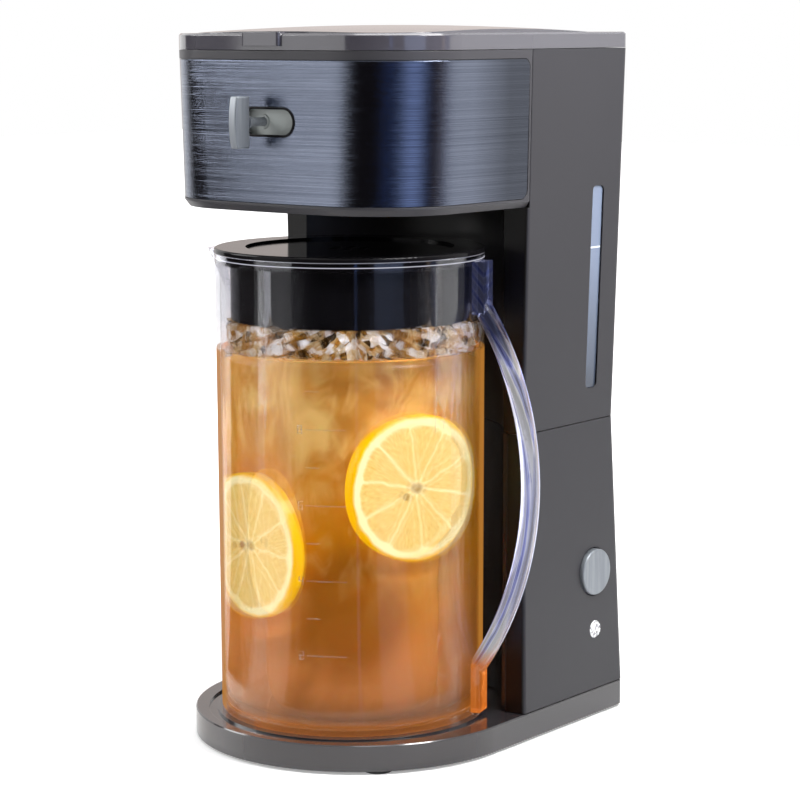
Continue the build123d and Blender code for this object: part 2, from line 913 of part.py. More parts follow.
def basket_holder():
    """Round cup fixed in the head, with a ledge for the ring, side ports and an outlet below."""
    low = head_underside + shelf
    cup = disc(holder_radius, low, holder_top, 0, jug_y)
    cup = cup - disc(holder_radius - holder_wall, low + holder_wall, holder_top + 1, 0, jug_y)
    ledge_top = ring_low() - clearance
    cup = cup + tube(
        ring_hole() + ring_thick, holder_radius - 1, ledge_top - ledge_thick, ledge_top, 0, jug_y
    )
    cup = cup - port_holes(slot_level)
    return cup - disc(outlet_radius, low - 1, low + 5, 0, jug_y)


def drip_nozzle():
    """Funnel that leads the drink down through the head's floor."""
    low = head_underside
    top = low + shelf + holder_wall
    nozzle = disc(outlet_radius - 0.05, low - nozzle_drop, top + 1.5, 0, jug_y)
    nozzle = nozzle + disc(outlet_radius + 3, top, top + 1.5, 0, jug_y)
    bore = Pos(0, jug_y, low - nozzle_drop) * Cone(
        outlet_radius - 4, outlet_radius - 1, top - low + nozzle_drop + 1.5,
        align=(Align.CENTER, Align.CENTER, Align.MIN),
    )
    return nozzle - bore


def cup_cone(low_radius, high_radius, low, high):
    """A cone about the pitcher's axis."""
    return Pos(0, jug_y, low) * Cone(
        low_radius, high_radius, high - low, align=(Align.CENTER, Align.CENTER, Align.MIN)
    )


def brew_basket():
    """Tapered basket that hangs by its rim on the holder, with drain holes in its floor."""
    rim_radius = holder_radius - holder_wall - 1.0
    slope = (rim_radius - basket_foot_radius) / (holder_top - basket_foot)
    basket = cup_cone(basket_foot_radius, rim_radius, basket_foot, holder_top)
    basket = basket + disc(holder_radius, holder_top, holder_top + basket_rim, 0, jug_y)
    inside_low = basket_foot + basket_wall
    inside_high = holder_top + basket_rim + 1
    low_radius = basket_foot_radius - basket_wall + slope * basket_wall
    high_radius = rim_radius - basket_wall + slope * (basket_rim + 1)
    basket = basket - cup_cone(low_radius, high_radius, inside_low, inside_high)
    for ring_index in range(1, drain_rings + 1):
        ring_radius = drain_pitch * ring_index
        count = drain_count * ring_index
        for index in range(count):
            turn = 2 * math.pi * index / count
            x = ring_radius * math.cos(turn)
            y = jug_y + ring_radius * math.sin(turn)
            basket = basket - disc(drain_hole, basket_foot - 1, inside_low + 1, x, y)
    return basket


def filter_mesh():
    """Fine mesh liner inside the basket, plain here and open at the top."""
    gap = basket_wall + clearance
    rim_radius = holder_radius - holder_wall - 1.0
    top = holder_top - 1.0
    low = basket_foot + basket_wall
    slope = (rim_radius - basket_foot_radius) / (holder_top - basket_foot)
    low_radius = basket_foot_radius + slope * basket_wall - gap - 0.3
    high_radius = rim_radius - slope * 1.0 - gap - 0.3
    liner = cup_cone(low_radius, high_radius, low, top)
    inner_low = low + mesh_thick
    inner_low_radius = low_radius + slope * mesh_thick - mesh_thick
    return liner - cup_cone(inner_low_radius, high_radius - mesh_thick + slope, inner_low, top + 1)


def shower_arm():
    """Hollow arm that carries hot water from the riser to the middle of the basket."""
    length = math.hypot(riser_x, riser_y - jug_y)
    turn = math.degrees(math.atan2(jug_y - riser_y, -riser_x))
    outer = SlotCenterToCenter(length, arm_width)
    inner = SlotCenterToCenter(length, arm_width - 2 * arm_wall)
    place = Pos(riser_x / 2, (riser_y + jug_y) / 2, arm_level) * Rot(0, 0, turn)
    arm = place * extrude(outer, amount=arm_height)
    arm = arm - place * Pos(0, 0, arm_wall) * extrude(inner, amount=arm_height - 2 * arm_wall)
    arm = arm + disc(port_radius_water, arm_level - arm_stub, arm_level + 0.5, riser_x, riser_y)
    arm = arm - disc(water_bore, arm_level - arm_stub - 1, arm_level + arm_wall + 1, riser_x, riser_y)
    for index in range(6):
        turn = 2 * math.pi * index / 6
        x = spray_circle * math.cos(turn)
        y = jug_y + spray_circle * math.sin(turn)
        arm = arm - disc(spray_hole, arm_level - 1, arm_level + arm_wall + 1, x, y)
    return arm


def tank_block(low, high, inset):
    """Crescent block of the tank inside the tower, drawn in by inset."""
    gap = wall + tank_gap + inset
    if high <= middle_seam:
        body = lower_block(low, high, gap)
    else:
        body = upper_block(low, high, gap)
    body = body - recess(0, high + 1, gap)
    return body - slab(-base_radius, base_radius, 0, tank_front + inset, low - 1, high + 1)


def water_tank():
    """Open crescent tank between the pitcher's hollow and the tower's back, with a port in its floor."""
    gap_low = tank_bottom + tank_wall
    tank = tank_block(tank_bottom, middle_seam, 0) + tank_block(middle_seam, tank_top, 0)
    tank = tank - tank_block(gap_low, middle_seam, tank_wall)
    tank = tank - tank_block(middle_seam, tank_top + 1, tank_wall)
    return tank - disc(port_radius_water + 0.05, tank_bottom - 1, gap_low + 1, tank_port_x, tank_port_y)


def tank_seal():
    """Rubber grommet under the tank's port."""
    hole = port_radius_water + 0.02
    return tube(valve_radius + 0.5, hole, tank_bottom - seal_thick, tank_bottom, tank_port_x, tank_port_y)


def water_window():
    """Clear strip set into the tower's side, with a flange behind the wall."""
    front = window_hole(0, -wall, -window_depth)
    flange = window_hole(window_flange, -wall - 1.1, -wall - 0.1)
    return front + flange + window_hole(0, -wall - 0.5, -window_depth)


def heater_body():
    """Aluminium block with a water way and a bore for the heating rod."""
    half = heater_length / 2
    body = slab(-half, half, heater_y - heater_depth / 2, heater_y + heater_depth / 2,
                heater_level, heater_level + heater_height)
    body = chamfer(body.edges().filter_by(Axis.X), 1.5)
    middle = heater_level + heater_height / 2
    body = body + rod_x(port_radius_water, -half - port_length, half + port_length, water_bore_y, middle)
    body = body - rod_x(water_bore, -half - port_length - 1, half + port_length + 1, water_bore_y, middle)
    return body - rod_x(element_bore, -half - 1, half + 1, element_bore_y, middle)


def heater_element():
    """Sheathed rod with a flat terminal at each end."""
    half = heater_length / 2
    middle = heater_level + heater_height / 2
    rod = rod_x(element_radius, -half - element_out, half + element_out, element_bore_y, middle)
    blade = half + element_out
    for start in (blade - 1, -blade - element_blade):
        rod = rod + slab(start, start + element_blade + 1, element_bore_y - 2.4, element_bore_y + 2.4,
                         middle - 0.4, middle + 0.4)
    return rod


def heater_brackets():
    """Two bent steel bridges that carry the heater over the tray."""
    bridges = Part()
    for x in (-heater_length / 4, heater_length / 4):
        x0 = x - bracket_width / 2
        x1 = x + bracket_width / 2
        y0 = heater_y - heater_depth / 2
        y1 = heater_y + heater_depth / 2
        bridge = slab(x0, x1, y0, y1, base_top, heater_level)
        bridge = bridge - slab(x0 - 1, x1 + 1, y0 + bracket_thick, y1 - bracket_thick, base_top - 1,
                               heater_level - bracket_thick)
        for near, far in ((y0 - bracket_foot, y0), (y1, y1 + bracket_foot)):
            bridge = bridge + slab(x0, x1, near, far, base_top, base_top + bracket_thick)
        bridges = bridges + bridge
    return bridges


def thermostat():
    """Disc thermostat on top of the heater, with two blades."""
    low = heater_level + heater_height
    body = disc(thermostat_radius, low, low + thermostat_height, 0, heater_y)
    body = body + disc(thermostat_radius - 2, low, low + thermostat_height + 3, 0, heater_y)
    for x in (-4.0, 4.0):
        body = body + slab(x - 0.4, x + 0.4, heater_y - 2.4, heater_y + 2.4, low, low + thermostat_height + 9)
    return body


def thermal_fuse():
    """Thermal fuse in its sleeve, lying on the heater."""
    low = heater_level + heater_height
    return rod_x(fuse_radius, fuse_left, fuse_left + fuse_length, heater_y, low + fuse_radius)


def cold_points():
    """Route of the cold hose from the check valve to the heater's inlet."""
    middle = heater_level + heater_height / 2
    start = tank_bottom - seal_thick - valve_length
    return [
        (tank_port_x, tank_port_y, start),
        (tank_port_x, tank_port_y, middle),
        (tank_port_x, water_bore_y, middle),
        (heater_length / 2 + port_length - free_port, water_bore_y, middle),
    ]


def check_valve():
    """One-way valve under the tank."""
    high = tank_bottom - seal_thick
    low = high - valve_length
    body = disc(valve_radius, low, high, tank_port_x, tank_port_y)
    body = body + disc(port_radius_water, low - valve_stub, tank_bottom + tank_wall, tank_port_x, tank_port_y)
    return body - disc(water_bore, low - valve_stub - 1, high + 9, tank_port_x, tank_port_y)


def cold_hose():
    """Short hose from the valve down to the heater."""
    return pipe(cold_points(), [12.0, 8.0], hose_radius, port_radius_water + 0.02)


def hot_hose():
    """Riser from the heater's outlet, round the left horn of the tower and up to the shower arm."""
    half = heater_length / 2 + port_length
    middle = heater_level + heater_height / 2
    points = [
        (-half + free_port, water_bore_y, middle),
        (riser_x, water_bore_y, middle),
        (riser_x, riser_y, middle + riser_lean),
        (riser_x, riser_y, arm_level - arm_stub + free_port),
    ]
    return pipe(points, list(riser_bends), hose_radius, port_radius_water + 0.02)


def hose_clamps():
    """Spring bands where the hoses push onto their ports."""
    middle = heater_level + heater_height / 2
    bands = Part()
    reach = heater_length / 2 + clamp_back
    for x in (-reach - clamp_width, reach):
        outer = rod_x(hose_radius + clamp_thick, x, x + clamp_width, water_bore_y, middle)
        bands = bands + (outer - rod_x(hose_radius, x - 1, x + clamp_width + 1, water_bore_y, middle))
    top = arm_level - arm_stub
    bands = bands + tube(hose_radius + clamp_thick, hose_radius, top, top + clamp_width, riser_x, riser_y)
    valve_end = tank_bottom - seal_thick - valve_length
    low = valve_end - clamp_width - 1
    bands = bands + tube(
        hose_radius + clamp_thick, hose_radius, low, low + clamp_width, tank_port_x, tank_port_y
    )
    return bands


def button_face_x():
    """X of the button's face, a little proud of the leaning side wall."""
    return side_x(button_y, lower_grow(button_level)) + button_proud


def power_button():
    """Round push button with a guide stem."""
    face = button_face_x()
    cap = rod_x(button_radius, face - button_depth, face, button_y, button_level)
    cap = fillet(cap.edges().sort_by(Axis.X)[-1], 0.9)
    cap = cap - rod_x(button_radius - 1.6, face - button_depth - 1, face - 2.2, button_y, button_level)
    stem_back = face - button_depth - button_travel - 3
    return cap + rod_x(button_stem, stem_back, face - 2, button_y, button_level)


def switch_front():
    """X of the switch body's front face, behind the pressed button."""
    return button_face_x() - button_depth - button_travel - 1.0


def switch_body():
    """Latching switch held behind the button, with a well for the stem and two blades."""
    front = switch_front()
    half_width = switch_width / 2
    half_height = switch_height / 2
    body = slab(front - switch_length, front, button_y - half_width, button_y + half_width,
                button_level - half_height, button_level + half_height)
    rear = front - switch_length
    low = button_level - 2.4
    high = button_level + 2.4
    for y in (button_y - blade_spread, button_y + blade_spread):
        body = body + slab(rear - blade_length, rear + 1, y - 0.4, y + 0.4, low, high)
    ear_back = front - 2.5
    ear = slab(ear_back, front, button_y - half_width - 8, button_y + half_width + 8,
               button_level - 6, button_level + 6)
    return body + ear - rod_x(button_stem + 0.4, front - 9, front + 1, button_y, button_level)


def button_spring():
    """Return spring between the button and the switch, as a plain sleeve."""
    front = switch_front()
    back = button_face_x() - 2.2
    ring = rod_x(spring_radius, front, back, button_y, button_level)
    return ring - rod_x(spring_radius - spring_wire, front - 1, back + 1, button_y, button_level)


def pilot_lens():
    """Clear lens with a flange behind the wall and a domed face."""
    surface = side_x(button_y, lower_grow(lens_level))
    lens = rod_x(lens_radius, surface - wall - 2, surface + lens_proud, button_y, lens_level)
    lens = chamfer(lens.edges().sort_by(Axis.X)[-1], 0.8)
    lens = lens - rod_x(lamp_radius + 0.3, surface - wall - 3, surface - 1.2, button_y, lens_level)
    return lens


def pilot_lamp():
    """Small lamp behind the lens."""
    surface = side_x(button_y, lower_grow(lens_level))
    return rod_x(lamp_radius, surface - 1.2 - lamp_length, surface - 1.2, button_y, lens_level)


def cord_gland():
    """Bushing in the back wall for the mains cord."""
    surface = back_reach + lower_grow(gland_level)
    body = rod_y(gland_radius - 1.05, surface - wall - 3, surface + 1.5, gland_x, gland_level)
    body = body + rod_y(gland_radius + 1, surface + 0.25, surface + 2.5, gland_x, gland_level)
    body = body + rod_y(gland_radius, surface - wall - 5, surface - wall - 0.4, gland_x, gland_level)
    return body - rod_y(gland_bore, surface - 20, surface + 5, gland_x, gland_level)


def terminal_block():
    """Screw block on the tray's edge where the leads meet."""
    half = terminal_width / 2
    low = terminal_y() - terminal_depth / 2
    high = terminal_y() + terminal_depth / 2
    block = slab(-half, half, low, high, base_top, base_top + 12)
    for x in (-half / 2, half / 2):
        block = block - disc(2.0, base_top + 3, base_top + 13, x, terminal_y())
    return block


def terminal_y():
    """Middle of the terminal block, just inside the back wall."""
    return back_reach - wall - 6 - terminal_depth / 2


def lead(points, radii):
    """One insulated wire."""
    return pipe(points, radii, lead_radius)


def inner_leads():
    """Wires between the switch, the heating rod, the thermal fuse and the terminal block."""
    middle = heater_level + heater_height / 2
    tip = heater_length / 2 + element_out + element_blade
    blade = switch_front() - switch_length - blade_length
    under = button_level - switch_height / 2 - 3.5
    fuse_level = heater_level + heater_height + fuse_radius
    behind = heater_y + heater_depth / 2 + 5
    well = base_top + 3
    live = [
        (blade, button_y + blade_spread, button_level),
        (blade - 9, button_y + blade_spread, button_level),
        (blade - 9, button_y + blade_spread, under),
        (tip + 8, element_bore_y, under),
        (tip + 8, element_bore_y, middle),
        (tip, element_bore_y, middle),
    ]
    bridge = [
        (-tip, element_bore_y, middle),
        (-tip - 8, element_bore_y, middle),
        (-tip - 8, element_bore_y, middle + 18),
        (fuse_left - 11, heater_y, fuse_level),
        (fuse_left, heater_y, fuse_level),
    ]
    first = [
        (fuse_left + fuse_length, heater_y, fuse_level),
        (fuse_left + fuse_length + 7.5, heater_y, fuse_level),
        (fuse_left + fuse_length + 7.5, behind, fuse_level + 8),
        (-terminal_width / 4, behind, heater_level - 5),
        (-terminal_width / 4, terminal_y(), heater_level - 13),
        (-terminal_width / 4, terminal_y(), well),
    ]
    second = [
        (blade, button_y - blade_spread, button_level),
        (blade - 13, button_y - blade_spread, button_level),
        (blade - 13, behind, button_level - 6),
        (terminal_width / 4, behind, heater_level - 5),
        (terminal_width / 4, terminal_y(), heater_level - 13),
        (terminal_width / 4, terminal_y(), well),
    ]
    return (
        lead(live, [3.5, 3.5, 3.5, 3.5])
        + lead(bridge, [3.5, 3.5, 4.0])
        + lead(first, [3.0, 4.0, 3.0, 3.0])
        + lead(second, [4.0, 4.0, 3.0, 3.0])
    )


def pitcher_profile(inset, low):
    """Upright body of the pitcher, drawn in by inset, from low to above the rim."""
    slope = (jug_top_radius - jug_foot_radius) / (jug_rim - jug_bottom)
    top = jug_rim + (1.0 if inset > 0 else 0.0)
    low_radius = jug_foot_radius - inset + slope * (low - jug_bottom)
    high_radius = jug_top_radius - inset + slope * (top - jug_rim)
    return cup_cone(low_radius, high_radius, low, top)


def spout(inset):
    """Cone that widens to the rim, opposite the handle."""
    top = jug_rim + (1.0 if inset > 0 else 0.0)
    low = jug_rim - spout_depth + inset
    centre = spout_reach - spout_radius
    cone = Pos(-centre, jug_y, low) * Cone(
        1.5, spout_radius - inset, top - low, align=(Align.CENTER, Align.CENTER, Align.MIN)
    )
    return around(cone, handle_turn)


def pitcher_body():
    """Clear pitcher with a spout and a thick foot."""
    body = pitcher_profile(0, jug_bottom)
    body = fillet(body.edges().sort_by(Axis.Z)[0], 2.0)
    body = body + spout(0)
    body = body - pitcher_profile(jug_wall, jug_bottom + jug_floor)
    return body - (spout(jug_wall) - disc(jug_top_radius - 8, 0, 2 * jug_rim, 0, jug_y))


def handle_pad(low, high, proud, width):
    """Block that joins the handle to the pitcher's wall."""
    pad = slab(jug_top_radius - 6, jug_top_radius + proud, jug_y - width / 2, jug_y + width / 2, low, high)
    return pad


def pitcher_handle():
    """Clear bow with a pad at each end, standing off the pitcher's wall."""
    middle = (upper_pad_low + lower_pad_high) / 2 + handle_lift
    rise = upper_pad_low + handle_bite - middle
    bow_radius = (rise ** 2 + handle_sag ** 2) / (2 * handle_sag)
    centre = handle_reach - bow_radius
    up = math.asin(rise / bow_radius)
    down = math.asin((middle - lower_pad_high + handle_bite) / bow_radius)
    points = [
        (centre + bow_radius * math.cos(a), jug_y, middle + bow_radius * math.sin(a))
        for a in (up, 0.0, -down)
    ]
    path = ThreePointArc(*points)
    section = Plane(origin=path @ 0, z_dir=path % 0, x_dir=(0, 1, 0)) * RectangleRounded(
        handle_width, handle_thick, handle_thick / 2 - 0.7
    )
    bow = sweep(section, path=path)
    upper = handle_pad(upper_pad_low, upper_pad_high, upper_pad_proud, handle_width + 2)
    lower = handle_pad(lower_pad_low, lower_pad_high, lower_pad_proud, handle_width)
    handle = bow + upper + lower
    handle = handle - pitcher_profile(-0.02, jug_bottom)
    return around(handle, handle_turn)


def pitcher_lid():
    """Black cover with a shallow dish, a deep skirt and strainer slots on the spout's side."""
    low = jug_rim + clearance
    top = low + cover_thick
    cover = disc(cover_radius, low, top, 0, jug_y)
    cover = fillet(cover.edges().sort_by(Axis.Z)[-1], 1.2)
    cover = cover - disc(cover_dish_radius, top - cover_dish_depth, top + 1, 0, jug_y)
    skirt_inner = cover_skirt_radius - cover_skirt_wall
    cover = cover + tube(cover_skirt_radius, skirt_inner, cover_skirt_bottom, low + 0.5, 0, jug_y)
    seal = jug_top_radius - jug_wall - 0.5
    cover = cover + tube(seal, seal - 1.5, low - cover_seal_depth, low + 0.5, 0, jug_y)
    for index in range(strainer_count):
        turn = (index - (strainer_count - 1) / 2) * strainer_pitch
        slot = slab(-cover_radius, -skirt_inner + 2, jug_y - strainer_slot / 2, jug_y + strainer_slot / 2,
                    cover_slot_low, cover_slot_high)
        cover = cover - around(slot, handle_turn + turn)
    holes = disc(cover_hole_radius, low - 1, top + 1, 0, jug_y)
    for index in range(cover_hole_count):
        turn = 2 * math.pi * index / cover_hole_count
        x = cover_hole_circle * math.cos(turn)
        y = jug_y + cover_hole_circle * math.sin(turn)
        holes = holes + disc(cover_hole_radius, low - 1, top + 1, x, y)
    return cover - holes


def top_lid():
    """Lid over head and tower, hollow below, crowned in the middle, with a finger tab in front."""
    low = housing_top + lid_gap
    level = housing_top
    rim = extrude(top_face(low, 0, level), amount=lid_rim_top - low, dir=(0, 0, 1))
    rim = chamfer(rim.faces().sort_by(Axis.Z)[-1].outer_wire().edges(), lid_edge)
    pad = extrude(top_face(lid_rim_top - 2, -pad_inset, level), amount=12, dir=(0, 0, 1))
    middle_y = (back_reach - head_reach) / 2
    dome = Pos(0, middle_y, lid_crown_top - pad_radius) * Sphere(pad_radius)
    lid = rim + (pad & dome)
    depth = lid_rim_top - lid_wall - low + 1
    lid = lid - extrude(top_face(low - 1, -lid_wall, level), amount=depth, dir=(0, 0, 1))
    front = -head_reach
    tab = slab(-tab_width / 2, tab_width / 2, front - tab_proud, front + 4,
               lid_rim_top - tab_height, lid_rim_top + tab_rise)
    tab = fillet(tab.edges().filter_by(Axis.Z).group_by(Axis.Y)[0], 2.0)
    lid = lid + tab
    y, z = hinge_axis()
    gap = (lug_width + 2 * clearance) / 2
    for x in (-hinge_x, hinge_x):
        for start in (x + gap, x - gap - knuckle_width):
            lid = lid + hinge_barrel(start, knuckle_width, 1)
    reach = hinge_x + lug_width + knuckle_width
    return lid - rod_x(hinge_bore, -reach, reach, y, z)


def hinge_pins():
    """Two steel pins of the lid's hinge."""
    y, z = hinge_axis()
    half = lug_width / 2 + clearance + knuckle_width
    pins = Part()
    for x in (-hinge_x, hinge_x):
        pins = pins + rod_x(hinge_pin, x - half, x + half, y, z)
    return pins


pieces = (
    base_tray, base_plate, rubber_feet, base_screws, tower_screws, lower_housing, recess_panel,
    upper_housing,
    head_screws, head_shell, front_panel, slot_bezel, selector_ring, selector_knob,
    basket_holder, drip_nozzle, brew_basket, filter_mesh, shower_arm,
    water_tank, tank_seal, water_window, check_valve, cold_hose, hot_hose, hose_clamps,
    heater_body, heater_element, heater_brackets, thermostat, thermal_fuse,
    power_button, button_spring, switch_body, pilot_lens, pilot_lamp, cord_gland, terminal_block,
    inner_leads, pitcher_body, pitcher_handle, pitcher_lid, top_lid, hinge_pins,
)

os.makedirs("parts", exist_ok=True)
for piece in pieces:
    export_step(piece(), "parts/" + piece.__name__ + ".step")
    print("wrote", piece.__name__)
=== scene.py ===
"""Looks of an iced coffee maker: finishes for its plastic and metal pieces, and its cold drink."""

import logging
import math
from abc import ABC, abstractmethod
from dataclasses import dataclass
from enum import Enum

import bmesh
import bpy
import numpy as np
from mathutils import Matrix, Vector


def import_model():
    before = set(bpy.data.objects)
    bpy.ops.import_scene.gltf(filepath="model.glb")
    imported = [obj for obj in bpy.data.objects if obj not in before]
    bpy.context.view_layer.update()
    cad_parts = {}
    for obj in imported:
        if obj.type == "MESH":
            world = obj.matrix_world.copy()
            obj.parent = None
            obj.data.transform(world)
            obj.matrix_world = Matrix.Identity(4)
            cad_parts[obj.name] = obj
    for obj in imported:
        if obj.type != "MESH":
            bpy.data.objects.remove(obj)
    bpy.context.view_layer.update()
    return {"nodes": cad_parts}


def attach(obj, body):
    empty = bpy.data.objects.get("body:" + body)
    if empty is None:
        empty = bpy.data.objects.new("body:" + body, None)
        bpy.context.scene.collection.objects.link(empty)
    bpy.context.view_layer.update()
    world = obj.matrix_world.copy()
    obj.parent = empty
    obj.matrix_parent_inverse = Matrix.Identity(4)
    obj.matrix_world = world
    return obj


LOG = logging.getLogger("iced_coffee_maker")

PITCHER_AXIS = (0.0, -0.0065)
PITCHER_INNER = 0.0723
PITCHER_SEAT = 0.016
PITCHER_FLOOR = 0.0193
PITCHER_RIM = 0.275
PITCHER_FOOT_RADIUS = 0.0740
PITCHER_TOP_RADIUS = 0.0750
DRINK_LEVEL = 0.2218

Colour = tuple[float, float, float, float]
Place = tuple[float, float, float]
Socket = bpy.types.NodeSocket

BLACK: Colour = (0.0, 0.0, 0.0, 1.0)
WHITE: Colour = (1.0, 1.0, 1.0, 1.0)
EVEN: Place = (1.0, 1.0, 1.0)
MOULD_DEPTH = 0.0002


class Ray(Enum):
    """Kinds of ray that a surface may answer differently."""

    CAMERA = "Is Camera Ray"
    GLOSSY = "Is Glossy Ray"
    TRANSMISSION = "Is Transmission Ray"
    SHADOW = "Is Shadow Ray"
    DIFFUSE = "Is Diffuse Ray"


class Part(Enum):
    """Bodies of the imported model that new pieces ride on."""

    PITCHER = "pitcher"


def linear(red: int, green: int, blue: int) -> Colour:
    """Turn a screen colour into the linear colour that shaders use.

    Args:
        red: Red from 0 to 255.
        green: Green from 0 to 255.
        blue: Blue from 0 to 255.

    Returns:
        Linear red, green and blue with an alpha of 1.
    """
    values = np.array([red, green, blue], float) / 255.0
    curve = np.where(values <= 0.04045, values / 12.92, ((values + 0.055) / 1.055) ** 2.4)
    return (float(curve[0]), float(curve[1]), float(curve[2]), 1.0)


class NodeBench:
    """Adds and joins nodes in one node tree."""

    def __init__(self, tree: bpy.types.NodeTree) -> None:
        """Keep the node tree of a material, a world or a group."""
        self.tree = tree

    def add(self, kind: str, sockets: dict | None = None, **settings: object) -> bpy.types.Node:
        """Add a node, set its options and fill or join its inputs.

        Args:
            kind: Blender's name of the node type.
            sockets: Input name or number to a value, or to the output socket that feeds it.
            settings: Options set on the node itself.

        Returns:
            The new node.
        """
        made = self.tree.nodes.new(kind)
        for name, value in settings.items():
            setattr(made, name, value)
        for name, value in (sockets or {}).items():
            if isinstance(value, Socket):
                self.tree.links.new(value, made.inputs[name])
            else:
                made.inputs[name].default_value = value
        return made

    def join(self, source: Socket, target: Socket) -> None:
        """Join an output to an input."""
        self.tree.links.new(source, target)

    def math(self, operation: str, first: object, second: object = 0.5, clamp: bool = False) -> Socket:
        """Add a Math node and return its output."""
        made = self.add("ShaderNodeMath", {0: first, 1: second}, operation=operation, use_clamp=clamp)
        return made.outputs[0]

    def times(self, first: object, second: object) -> Socket:
        """Product of two values."""
        return self.math("MULTIPLY", first, second)

    def vector(self, operation: str, first: object, second: object = (0.0, 0.0, 0.0)) -> Socket:
        """Add a Vector Math node and return its value for a length or distance, and else its vector."""
        made = self.add("ShaderNodeVectorMath", {0: first, 1: second}, operation=operation)
        return made.outputs["Value" if operation in ("LENGTH", "DISTANCE") else "Vector"]

    def parts(self, vector: object) -> list[Socket]:
        """Split a vector into its three parts."""
        return list(self.add("ShaderNodeSeparateXYZ", {0: vector}).outputs)

    def mix(self, share: object, first: object, second: object) -> Socket:
        """Mix two colours."""
        return self.add("ShaderNodeMix", {0: share, 6: first, 7: second}, data_type="RGBA").outputs[2]

    def span(self, value: object, start: float, end: float, low: object = 0.0, high: object = 1.0,
             shape: str = "LINEAR") -> Socket:
        """Run from low to high, and no further, as value goes from start to end."""
        sockets = {0: value, 1: start, 2: end, 3: low, 4: high}
        return self.add("ShaderNodeMapRange", sockets, interpolation_type=shape).outputs[0]

    def ramp(self, share: object, *stops: tuple[float, Colour]) -> Socket:
        """Run through colours.

        Args:
            share: Value from 0 to 1.
            stops: Places from 0 to 1 with their colours, in rising order.

        Returns:
            The colour.
        """
        made = self.add("ShaderNodeValToRGB", {0: share})
        line = made.color_ramp.elements
        line[0].position, line[0].color = stops[0]
        line[1].position, line[1].color = stops[-1]
        for position, colour in stops[1:-1]:
            line.new(position).color = colour
        return made.outputs[0]

    def noise(self, vector: object, scale: object, detail: float, roughness: float = 0.5,
              distortion: float = 0.0) -> Socket:
        """Value of a noise texture."""
        sockets = {"Vector": vector, "Scale": scale, "Detail": detail, "Roughness": roughness,
                   "Distortion": distortion}
        return self.add("ShaderNodeTexNoise", sockets).outputs["Fac"]

    def cells(self, vector: object, scale: object) -> dict[str, Socket]:
        """Outputs of a cell texture."""
        return self.add("ShaderNodeTexVoronoi", {"Vector": vector, "Scale": scale}).outputs

    def place(self, scale: Place = EVEN) -> Socket:
        """Object coordinates stretched by scale."""
        where = self.add("ShaderNodeTexCoord").outputs["Object"]
        return self.add("ShaderNodeMapping", {"Vector": where, "Scale": scale}).outputs[0]

    def height(self, low: float, high: float) -> Socket:
        """Value that runs from 0 at the level low to 1 at the level high."""
        return self.span(self.parts(self.place())[2], low, high)

    def band(self, low: float, high: float, soft: float) -> Socket:
        """1 between two levels and 0 beyond them, with soft edges of that width inside."""
        return self.times(self.height(low, low + soft), self.height(high, high - soft))

    def rays(self, *kinds: Ray) -> Socket:
        """1 for the kinds of ray named, and 0 for the rest."""
        path = self.add("ShaderNodeLightPath").outputs
        found = path[kinds[0].value]
        for kind in kinds[1:]:
            found = self.math("MAXIMUM", found, path[kind.value])
        return found

    def grazing(self) -> Socket:
        """Value that rises from 0 where a surface faces the eye to 1 at its silhouette."""
        return self.add("ShaderNodeLayerWeight", {"Blend": 0.5}).outputs["Facing"]

    def use(self, group: bpy.types.NodeTree, vector: object, **inputs: float) -> bpy.types.Node:
        """Add a shared group that is fed by vector and by the inputs named."""
        return self.add("ShaderNodeGroup", {"Vector": vector, **inputs}, node_tree=group)

    def bump(self, height: object, strength: float, distance: float, edge: float = 0.0) -> Socket:
        """Normal bent by a height, over sharp edges rounded by the radius edge where it is given."""
        sockets = {"Height": height, "Strength": strength, "Distance": distance}
        if edge:
            sockets["Normal"] = self.add("ShaderNodeBevel", {"Radius": edge}, samples=4).outputs[0]
        return self.add("ShaderNodeBump", sockets).outputs[0]

    def principled(self, sockets: dict) -> Socket:
        """Principled shader with the inputs given."""
        return self.add("ShaderNodeBsdfPrincipled", sockets).outputs[0]

    def emission(self, colour: object) -> Socket:
        """Shader that shines in one colour."""
        return self.add("ShaderNodeEmission", {"Color": colour, "Strength": 1.0}).outputs[0]

    def see_through(self, colour: Colour) -> Socket:
        """Transparent shader that bends no light."""
        return self.add("ShaderNodeBsdfTransparent", {"Color": colour}).outputs[0]

    def blend(self, share: object, first: Socket, second: Socket) -> Socket:
        """Mix two shaders."""
        return self.add("ShaderNodeMixShader", {0: share, 1: first, 2: second}).outputs[0]


